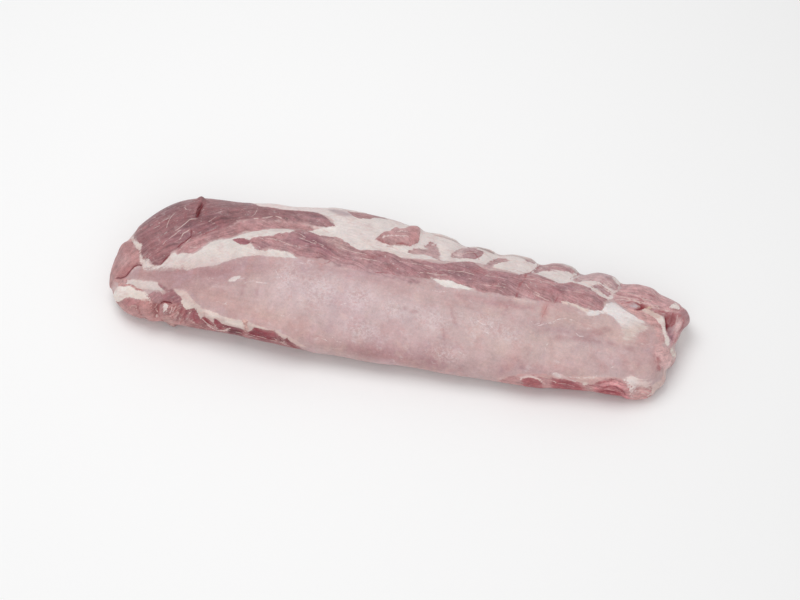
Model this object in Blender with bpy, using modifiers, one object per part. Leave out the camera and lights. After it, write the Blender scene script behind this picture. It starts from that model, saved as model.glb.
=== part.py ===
import math

import bmesh
import bpy
import numpy as np
from mathutils import Euler, Matrix

MM = 0.001

# Driving dimensions, in millimetres. X runs along the loin from the blade end (-X) to the
# sirloin end (+X), Y from the rib side (-Y) to the backbone side (+Y), and Z is up.
# Each station: x, the widest point on the rib side, the widest point on the backbone side, the
# line of the crown, and the height of the crown.
STATIONS = (
    (-281, -44, -18, -30, 46),
    (-277, -55, -9, -26, 49),
    (-269, -65, 12, -21, 52),
    (-257, -71, 34, -16, 55),
    (-243, -74, 50, -12, 58),
    (-224, -76, 62, -9, 60),
    (-200, -78, 67, -6, 62),
    (-160, -78, 72, -3, 63),
    (-120, -77, 83, 0, 63),
    (-80, -75, 89, 2, 63),
    (-40, -72, 91, 2, 62),
    (0, -70, 86, 1, 60),
    (40, -66, 79, 0, 58),
    (80, -62, 76, 0, 56),
    (120, -58, 76, 0, 54),
    (160, -54, 78, 0, 51),
    (200, -48, 76, 0, 48),
    (228, -44, 75, 2, 45),
    (244, -38, 74, 6, 42),
    (256, -26, 72, 16, 39),
    (266, 4, 69, 32, 36),
    (275, 40, 62, 48, 32),
)
BLADE_ROUNDING, BLADE_SQUARENESS = 44, 2.4
SIRLOIN_ROUNDING, SIRLOIN_SQUARENESS = 24, 2.6
WIDEST_AT = 0.40  # height of the widest line, as a share of the crown's
RIB_FULLNESS = 2.35
BACK_FULLNESS = 2.05
UNDER_FULLNESS = 2.6
BASE_CUT = 3  # how far the underside is pressed flat

# Muscles and seams of fat: how far each stands proud of the skin, the width of its soft edge,
# and its run. A run's points are x, the way round the section from the crown, which is positive
# on the backbone side, and half the width there.
BANDS = (
    # cap muscle of the blade end, with the long muscle behind it
    (3.2, 7, ((-242, 26, 26), (-228, 32, 54), (-200, 52, 46), (-160, 58, 25), (-120, 54, 12),
              (-90, 51, 7))),
    # lip beside the slit in the cap
    (1.5, 3, ((-220, 30, 2.5), (-221, 44, 3), (-220, 58, 3.5))),
    # left lobe, below the cap
    (2.6, 6, ((-282, 0, 12), (-272, -14, 17), (-264, -26, 13))),
    # seam of fat between the cap and the eye, and its branch under the strap
    (1.2, 8, ((-226, -33, 4), (-196, -20, 11), (-160, 2, 12), (-130, 20, 7), (-108, 26, 3))),
    (1.0, 7, ((-160, -4, 7), (-130, -5, 4), (-104, -4, 2))),
    # strap muscle, and the bundles in it
    (2.2, 10, ((-140, 9, 8), (-110, 16, 14), (-70, 15, 15), (-50, 11, 11), (-10, 15, 13),
               (30, 23, 12), (66, 27, 15), (110, 31, 17), (160, 36, 14), (188, 33, 8))),
    (1.5, 10, ((-118, 18, 7), (-84, 16, 12))),
    (1.2, 12, ((-36, 14, 8), (20, 22, 9), (66, 30, 10))),
    (1.4, 9, ((88, 27, 9), (106, 31, 12))),
    (1.6, 9, ((122, 32, 12), (140, 33, 12))),
    (1.6, 9, ((156, 34, 11), (180, 34, 8))),
    # back fat
    (1.4, 12, ((-84, 74, 12), (-50, 66, 24), (-16, 66, 26))),
    # patch of fat at the sirloin end
    (1.2, 7, ((184, 18, 4), (200, 29, 7), (216, 20, 10), (230, 20, 4))),
    # strip that was between the ribs of the blade end, and the lip of fat above it
    (-1.8, 6, ((-205, -92, 22), (-170, -100, 22), (-130, -104, 20), (-84, -110, 14))),
    (1.5, 5, ((-204, -56, 2), (-186, -66, 4), (-160, -78, 4), (-130, -80, 4), (-100, -84, 3),
              (-78, -94, 1))),
    # lobes at the foot of the blade end
    (2.0, 6, ((-250, -76, 10), (-248, -92, 10))),
    (2.2, 6, ((-229, -78, 7), (-227, -92, 8))),
    (2.0, 5, ((-205, -78, 8), (-202, -90, 9))),
    # streaky tail over the sirloin end
    (1.6, 8, ((214, 68, 20), (240, 62, 20), (256, 50, 12))),
    # strip along the rib side of the sirloin end
    (-1.0, 5, ((168, -74, 12), (200, -70, 14), (228, -68, 14))),
)

# Block of muscle on the back fat, cut off straight: height, soft edge and corners.
BLOCK = (4.4, 3.6, ((-36, 41), (-26, 60), (-2, 86), (3, 53), (-5, 43), (-18, 38)))

# Folds, cuts and gaps between muscles: depth, half width, and the line that each follows.
CREASES = (
    (3.5, 2.6, ((-272, -37), (-262, -41), (-256, -38), (-252, -32), (-245, -33))),
    (2.4, 2.6, ((-211, 8), (-211, -3), (-219, -14), (-225, -26), (-230, -33), (-240, -31))),
    (1.6, 2.4, ((-209, 1), (-198, 6), (-186, 15))),
    (5.0, 2.4, ((-215, 62), (-214, 46), (-214, 36), (-210, 29))),
    (3.2, 3.0, ((-270, 20), (-262, 0), (-252, -14), (-247, -27))),
    (3.0, 2.6, ((-219, -78), (-217, -70), (-211, -68), (-203, -68))),
    (1.6, 2.4, ((-270, -46), (-252, -51), (-236, -58), (-220, -58))),
    (2.0, 2.4, ((-236, -66), (-236, -104))),
    (1.2, 3.0, ((-76, -4), (-40, 0), (0, 4), (36, 11))),
    (1.6, 2.6, ((113, 50), (113, 34), (111, 12))),
    (1.4, 2.6, ((147, 47), (147, 20))),
    (1.0, 2.4, ((-30, 37), (-10, 41), (2, 49))),
    (2.2, 2.4, ((192, 42), (206, 38), (218, 39), (232, 40), (250, 35))),
    (2.0, 2.6, ((250, -14), (255, -21), (257, -30))),
)

# Lobes along the backbone side: the notch where each starts, and its height. The last entry
# is the notch that ends them.
LOBES = ((3, 3.6), (45, 3.6), (80, 4.6), (122, 6.4), (163, 7.0), (203, 4.4), (242, 0))
LOBES_FROM, LOBES_FULL, LOBES_THIN, LOBES_TO = 42, 72, 96, 132  # across, from the crown
LOBE_RISE, LOBE_FALL = 0.45, 0.24  # shares of a lobe's length

# Slow swell of soft meat on a table: height, waves along x and round the section in radians for
# each millimetre, and where each starts.
SWELLS = (
    (0.45, 1 / 31, 1 / 23, 1.7),
    (0.35, 1 / 13.7, 1 / 17.1, 2.1),
    (0.35, 1 / 27, -1 / 29, 0.9),
    (0.25, 1 / 9.1, -1 / 11.3, 0),
)

# Loose ends of meat: centre, half sizes, and turn about Z in degrees.
TABS = (
    ((-208, -69, 9), (4, 5, 7), 0),
    ((-212, -68, 14), (6, 6, 10), 0),
    ((250, 6, 13), (19, 15, 16), 8),
    ((247, -14, 11), (19, 16, 14), 20),
    ((243, -29, 10), (18, 10, 12), 24),
    ((234, -37, 8), (5, 5, 5), 20),
    ((263, 12, 7), (8, 7, 4), 30),
    ((262, 49, 24), (14, 14, 13), 24),
    ((-217, 51, 50.5), (3.0, 5.5, 5.5), 0),
)

# Hollows cut into the loin: centre and half sizes, each turned by HOLLOW_TURN. The first four are
# the pocket of the sirloin end, the next three the gap below its flap, and the rest are nicks.
HOLLOW_TURN = (36, 0, 15)
HOLLOWS = (
    ((260, 37, 36), (6.5, 6.5, 7)),
    ((260, 32, 34.5), (5, 8, 6.5)),
    ((260.5, 25.5, 33), (3.8, 11, 6.5)),
    ((256, 39, 33.5), (2.4, 4, 9)),
    ((282, 30, 14), (14, 20, 60)),
    ((271, 33, 10), (7, 5, 60)),
    ((271, 27, 10), (8, 4, 60)),
    ((266, 0, 8), (6, 2.2, 16)),
    ((260, -25, 6), (5, 2, 16)),
    ((-219, -70, 8), (3, 2.5, 9)),
    ((-214, 36, 54), (1.6, 10, 6)),
)

RING_STEP = 2.5
RING_POINTS = 160
GRAIN = 2.2  # size of the even grid that all the forms are fused on
HOLLOW_GRAIN = 0.8
SOFTENING, SOFTENING_PASSES = 0.5, 2
TRIANGLES_KEPT = 0.108
TABLE = (800, 400, 40)
TO_MIDDLE = (3.3, -6.0)  # brings the middle of the loin's box over the origin
NODE = "loin"


def smooth_table(column):
    """A smooth curve along x through one column of STATIONS."""
    xs = np.array([s[0] for s in STATIONS], float)
    ys = np.array([s[column] for s in STATIONS], float)
    slopes = np.gradient(ys, xs)

    def at(x):
        x = np.clip(x, xs[0], xs[-1])
        i = np.clip(np.searchsorted(xs, x) - 1, 0, len(xs) - 2)
        h = xs[i + 1] - xs[i]
        t = (x - xs[i]) / h
        return (
            ys[i] * (1 + 2 * t) * (1 - t) ** 2
            + slopes[i] * h * t * (1 - t) ** 2
            + ys[i + 1] * t * t * (3 - 2 * t)
            + slopes[i + 1] * h * t * t * (t - 1)
        )

    return at


rib_edge, back_edge, crown_line, crown_height = (smooth_table(c) for c in (1, 2, 3, 4))
BLADE_END, SIRLOIN_END = STATIONS[0][0], STATIONS[-1][0]


def end_share(x):
    """How thick the loin is: 1 along it, falling to 0 at each rounded end."""
    share = 1
    for into_end, rounding, squareness in (
        (BLADE_END + BLADE_ROUNDING - x, BLADE_ROUNDING, BLADE_SQUARENESS),
        (x - SIRLOIN_END + SIRLOIN_ROUNDING, SIRLOIN_ROUNDING, SIRLOIN_SQUARENESS),
    ):
        t = np.clip(into_end / rounding, 0, 1)
        share = share * (1 - t**squareness) ** (1 / squareness)
    return share


def section(x, turn):
    """Point of the loin's skin at x, at an angle round the section: 0 is the backbone side, a
    quarter turn the crown, half a turn the rib side."""
    c, s = np.cos(turn), np.sin(turn)
    fullness = np.where(s < 0, UNDER_FULLNESS, np.where(c < 0, RIB_FULLNESS, BACK_FULLNESS))
    across = np.sign(c) * np.abs(c) ** (2 / fullness)
    rise = np.sign(s) * np.abs(s) ** (2 / fullness)
    height = crown_height(x)
    widest = WIDEST_AT * height
    middle = crown_line(x)
    reach = np.where(c < 0, middle - rib_edge(x), back_edge(x) - middle)
    y = middle + reach * across
    z = widest + np.where(s < 0, widest + BASE_CUT, height - widest) * rise * end_share(x)
    return y, z


def ease(t):
    t = np.clip(t, 0, 1)
    return t * t * (3 - 2 * t)


def distance_to_line(points, x, g):
    """Distance to the line through points."""
    nearest = np.full(x.shape, np.inf)
    for (ax, ag), (bx, bg) in zip(points, points[1:]):
        dx, dg = bx - ax, bg - ag
        t = np.clip(((x - ax) * dx + (g - ag) * dg) / (dx * dx + dg * dg), 0, 1)
        nearest = np.minimum(nearest, np.hypot(x - ax - t * dx, g - ag - t * dg))
    return nearest


def depth_in_band(run, x, g):
    """Distance from the edge of a band that follows the run, positive inside it."""
    deepest = np.full(x.shape, -np.inf)
    for (ax, ag, wide), (bx, bg, wide_after) in zip(run, run[1:]):
        dx, dg = bx - ax, bg - ag
        t = np.clip(((x - ax) * dx + (g - ag) * dg) / (dx * dx + dg * dg), 0, 1)
        away = np.hypot(x - ax - t * dx, g - ag - t * dg)
        deepest = np.maximum(deepest, wide + (wide_after - wide) * t - away)
    return deepest


def depth_inside(outline, x, g):
    """Distance from the outline, positive inside it."""
    closed = outline + outline[:1]
    within = np.zeros(x.shape, bool)
    for (ax, ag), (bx, bg) in zip(closed, closed[1:]):
        spans = (ag > g) != (bg > g)
        within ^= spans & (x < ax + (g - ag) * (bx - ax) / (bg - ag if bg != ag else 1))
    return np.where(within, 1, -1) * distance_to_line(closed, x, g)


def lobes(x, g):
    """Height of the lobes along the backbone side: each rises, runs on, and ends steeply."""
    height = np.zeros(x.shape)
    for (start, tall), (end, _) in zip(LOBES, LOBES[1:]):
        t = (x - start) / (end - start)
        height += tall * ease(t / LOBE_RISE) * ease((1 - t) / LOBE_FALL)
    height *= ease((g - LOBES_FROM) / (LOBES_FULL - LOBES_FROM))
    return height * ease((LOBES_TO - g) / (LOBES_TO - LOBES_THIN))


def relief(x, g):
    height = lobes(x, g)
    for tall, along, round_it, start in SWELLS:
        height += tall * np.sin(x * along + g * round_it + start)
    for tall, edge, run in BANDS:
        height += tall * ease(depth_in_band(run, x, g) / edge + 0.5)
    tall, edge, corners = BLOCK
    height += tall * ease(depth_inside(corners, x, g) / edge + 0.5)
    for depth, width, line in CREASES:
        height -= depth * np.exp(-((distance_to_line(line, x, g) / width) ** 2))
    return height


def fill_skin(bm):
    """The skin as rings of points from the blade end to the sirloin end, moved out by the relief."""
    count = round((SIRLOIN_END - BLADE_END) / RING_STEP)
    turns = np.arange(RING_POINTS) * 2 * math.pi / RING_POINTS - math.pi / 2
    rings, heights = [], []
    for x in np.linspace(BLADE_END, SIRLOIN_END, count):
        y, z = section(np.full(RING_POINTS, x), turns)
        steps = np.hypot(np.diff(y), np.diff(z))
        g = np.concatenate([[0], np.cumsum(steps)])
        g = g[RING_POINTS // 2] - g
        rings.append([bm.verts.new((x, b, c)) for b, c in zip(y, z)])
        heights.append(relief(np.full(RING_POINTS, x), g))
    for left, right in zip(rings, rings[1:]):
        for i in range(RING_POINTS):
            j = (i + 1) % RING_POINTS
            bm.faces.new((left[i], left[j], right[j], right[i]))
    bm.faces.new(rings[0][::-1])
    bm.faces.new(rings[-1])
    bm.normal_update()
    moves = [
        (point, point.co + point.normal * float(height))
        for ring, row in zip(rings, heights)
        for point, height in zip(ring, row)
    ]
    for point, place in moves:
        point.co = place


def fill_tabs(bm):
    for centre, half, turn in TABS:
        place = Matrix.Translation(centre) @ Matrix.Rotation(math.radians(turn), 4, "Z")
        size = Matrix.Diagonal((*half, 1))
        bmesh.ops.create_icosphere(bm, subdivisions=3, radius=1, matrix=place @ size)


def fill_hollows(bm):
    turn = Euler([math.radians(a) for a in HOLLOW_TURN]).to_matrix().to_4x4()
    for centre, half in HOLLOWS:
        place = Matrix.Translation(centre) @ turn @ Matrix.Diagonal((*half, 1))
        bmesh.ops.create_icosphere(bm, subdivisions=3, radius=1, matrix=place)


def placed_object(name, *fills):
    """An object of what the fills add, moved to the middle and brought to metres."""
    bm = bmesh.new()
    for fill in fills:
        fill(bm)
    bmesh.ops.translate(bm, vec=(*TO_MIDDLE, 0), verts=bm.verts)
    bmesh.ops.scale(bm, vec=(MM, MM, MM), verts=bm.verts)
    mesh = bpy.data.meshes.new(name)
    bm.to_mesh(mesh)
    bm.free()
    return bpy.data.objects.new(name, mesh)


def table_object():
    """A block below z = 0, which the loin's underside is pressed flat on."""
    bm = bmesh.new()
    block = Matrix.Translation((0, 0, -TABLE[2] / 2)) @ Matrix.Diagonal((*TABLE, 1))
    bmesh.ops.create_cube(bm, size=1, matrix=Matrix.Scale(MM, 4) @ block)
    mesh = bpy.data.meshes.new("table")
    bm.to_mesh(mesh)
    bm.free()
    return bpy.data.objects.new("table", mesh)


def fuse(piece, grain):
    """Joins the forms of a piece into one even skin."""
    fused = piece.modifiers.new("fused", "REMESH")
    fused.mode = "VOXEL"
    fused.voxel_size = grain * MM


def meat_material():
    material = bpy.data.materials.new("raw meat")
    material.use_nodes = True
    shader = material.node_tree.nodes["Principled BSDF"]
    shader.inputs["Base Color"].default_value = (0.565, 0.412, 0.407, 1)
    shader.inputs["Roughness"].default_value = 0.42
    shader.inputs["Metallic"].default_value = 0
    return material


for old in list(bpy.data.objects):
    bpy.data.objects.remove(old)

pieces = bpy.data.collections.new("pork loin")
helpers = bpy.data.collections.new("helpers")
bpy.context.scene.collection.children.link(pieces)
bpy.context.scene.collection.children.link(helpers)

table = table_object()
hollows = placed_object("hollows", fill_hollows)
for helper in (table, hollows):
    helper.hide_render = True
    helper.display_type = "WIRE"
    helpers.objects.link(helper)
fuse(hollows, HOLLOW_GRAIN)

loin = placed_object(NODE, fill_skin, fill_tabs)
loin.data.materials.append(meat_material())
pieces.objects.link(loin)

fuse(loin, GRAIN)
hollowed = loin.modifiers.new("hollowed", "BOOLEAN")
hollowed.operation = "DIFFERENCE"
hollowed.object = hollows
fuse(loin, GRAIN)
soft = loin.modifiers.new("soft", "SMOOTH")
soft.factor = SOFTENING
soft.iterations = SOFTENING_PASSES
fewer = loin.modifiers.new("fewer faces", "DECIMATE")
fewer.ratio = TRIANGLES_KEPT
pressed = loin.modifiers.new("pressed flat", "BOOLEAN")
pressed.operation = "DIFFERENCE"
pressed.object = table
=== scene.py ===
import math

import bmesh
import bpy
import numpy as np
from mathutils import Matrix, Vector, noise


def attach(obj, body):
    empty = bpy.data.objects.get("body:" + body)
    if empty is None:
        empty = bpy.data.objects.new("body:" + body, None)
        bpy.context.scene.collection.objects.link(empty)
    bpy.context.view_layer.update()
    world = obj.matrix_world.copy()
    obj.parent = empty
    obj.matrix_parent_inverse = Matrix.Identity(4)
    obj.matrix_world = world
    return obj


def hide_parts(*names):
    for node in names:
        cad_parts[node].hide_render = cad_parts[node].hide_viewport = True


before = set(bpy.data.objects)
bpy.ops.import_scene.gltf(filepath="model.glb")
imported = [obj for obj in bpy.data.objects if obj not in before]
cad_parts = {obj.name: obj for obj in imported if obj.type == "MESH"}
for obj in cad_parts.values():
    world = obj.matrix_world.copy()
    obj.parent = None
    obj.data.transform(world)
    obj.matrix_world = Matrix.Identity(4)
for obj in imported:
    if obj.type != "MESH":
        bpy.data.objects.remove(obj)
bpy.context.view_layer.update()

# A whole raw boneless pork loin. Lengths in the tables are in millimetres, colours 0 to 255.
mm = 0.001
noise.seed_set(1)  # the same soft noise in each run


def linear(colour):  # what a shader socket takes, from a colour as a picture editor shows it
    shares = np.array(colour, float) / 255
    return np.where(shares <= 0.04045, shares / 12.92, ((shares + 0.055) / 1.055) ** 2.4)


# the way round the loin

# x, edge on the rib side, edge on the backbone side, line of the crown, height of the crown
stations = np.array([
    (-281, -44, -18, -30, 46), (-277, -55, -9, -26, 49), (-269, -65, 12, -21, 52),
    (-257, -71, 34, -16, 55), (-243, -74, 50, -12, 58), (-224, -76, 62, -9, 60),
    (-200, -78, 67, -6, 62), (-160, -78, 72, -3, 63), (-120, -77, 83, 0, 63), (-80, -75, 89, 2, 63),
    (-40, -72, 91, 2, 62), (0, -70, 86, 1, 60), (40, -66, 79, 0, 58), (80, -62, 76, 0, 56),
    (120, -58, 76, 0, 54), (160, -54, 78, 0, 51), (200, -48, 76, 0, 48), (228, -44, 75, 2, 45),
    (244, -38, 74, 6, 42), (256, -26, 72, 16, 39), (266, 4, 69, 32, 36), (275, 40, 62, 48, 32),
], float)
loinForm = {
    "bladeRounding": 44, "bladeSquareness": 2.4,
    "sirloinRounding": 24, "sirloinSquareness": 2.6,
    "widestAt": 0.40, "ribFullness": 2.35, "backFullness": 2.05, "underFullness": 2.6,
    "baseCut": 3, "toMiddle": (3.3, -6.0), "leastReach": 0.5,
    "slices": 224, "turns": 361, "lastCell": 0.9999,
}


def alongStations(column, x):  # a smooth curve through one column of the table
    xs, ys = stations[:, 0], stations[:, column]
    slopes = np.gradient(ys, xs)
    x = np.clip(x, xs[0], xs[-1])
    i = np.clip(np.searchsorted(xs, x) - 1, 0, len(xs) - 2)
    step = xs[i + 1] - xs[i]
    t = (x - xs[i]) / step
    start = ys[i] * (1 + 2 * t) * (1 - t) ** 2 + slopes[i] * step * t * (1 - t) ** 2
    return start + ys[i + 1] * t * t * (3 - 2 * t) + slopes[i + 1] * step * t * t * (t - 1)


def thicknessAt(x):  # 1 along the loin, falling to 0 at each rounded end
    blade = np.clip((stations[0, 0] - x) / loinForm["bladeRounding"] + 1, 0, 1)
    sirloin = np.clip((x - stations[-1, 0]) / loinForm["sirloinRounding"] + 1, 0, 1)
    bladePower, sirloinPower = loinForm["bladeSquareness"], loinForm["sirloinSquareness"]
    share = (1 - blade ** bladePower) ** (1 / bladePower)
    return share * (1 - sirloin ** sirloinPower) ** (1 / sirloinPower)


def sectionAt(x):  # middle, reach to each side, widest height, rise and drop at x
    rib, back, middle, crown = (alongStations(column, x) for column in (1, 2, 3, 4))
    widest = loinForm["widestAt"] * crown
    thickness = thicknessAt(x)
    return (middle, middle - rib, back - middle, widest, (crown - widest) * thickness,
            (widest + loinForm["baseCut"]) * thickness)


def fullness(across, up):  # how full the section is on the side that a point is on
    ribOrBack = np.where(across < 0, loinForm["ribFullness"], loinForm["backFullness"])
    return np.where(up < 0, loinForm["underFullness"], ribOrBack)


def signedPower(values, power):
    return np.sign(values) * np.abs(values) ** power


def wayTable():  # distance round the section from the crown, for each slice and turn
    x = np.linspace(stations[0, 0], stations[-1, 0], loinForm["slices"])[:, None]
    turn = np.linspace(-math.pi / 2, 1.5 * math.pi, loinForm["turns"])[None, :]
    middle, toRib, toBack, widest, rise, drop = sectionAt(x)
    c, s = np.cos(turn), np.sin(turn)
    power = 2 / fullness(c, s)
    y = middle + np.where(c < 0, toRib, toBack) * signedPower(c, power)
    z = widest + np.where(s < 0, drop, rise) * signedPower(s, power)
    steps = np.hypot(np.diff(y, axis=1), np.diff(z, axis=1))
    way = np.concatenate([np.zeros((len(x), 1)), np.cumsum(steps, axis=1)], axis=1)
    crown = (loinForm["turns"] - 1) // 2
    return way[:, crown:crown + 1] - way


def placesOnSkin(points):  # (x, way round from the crown, positive to the backbone side)
    x = points[:, 0] - loinForm["toMiddle"][0]
    y = points[:, 1] - loinForm["toMiddle"][1]
    middle, toRib, toBack, widest, rise, drop = sectionAt(x)
    u = (y - middle) / np.where(y < middle, toRib, toBack)
    v = points[:, 2] - widest
    v = v / np.maximum(np.where(v < 0, drop, rise), loinForm["leastReach"])
    power = fullness(u, v) / 2
    turn = np.arctan2(signedPower(v, power), signedPower(u, power))
    turn = np.where(turn < -math.pi / 2, turn + 2 * math.pi, turn)
    way = wayTable()
    row = np.clip((x - stations[0, 0]) / np.ptp(stations[:, 0]), 0, loinForm["lastCell"])
    row = row * (loinForm["slices"] - 1)
    column = np.clip((turn + math.pi / 2) / (2 * math.pi), 0, loinForm["lastCell"])
    column = column * (loinForm["turns"] - 1)
    i, j = row.astype(int), column.astype(int)
    p, q = row - i, column - j
    near = way[i, j] * (1 - q) + way[i, j + 1] * q
    far = way[i + 1, j] * (1 - q) + way[i + 1, j + 1] * q
    return x, near * (1 - p) + far * p


# what the skin shows

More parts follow.
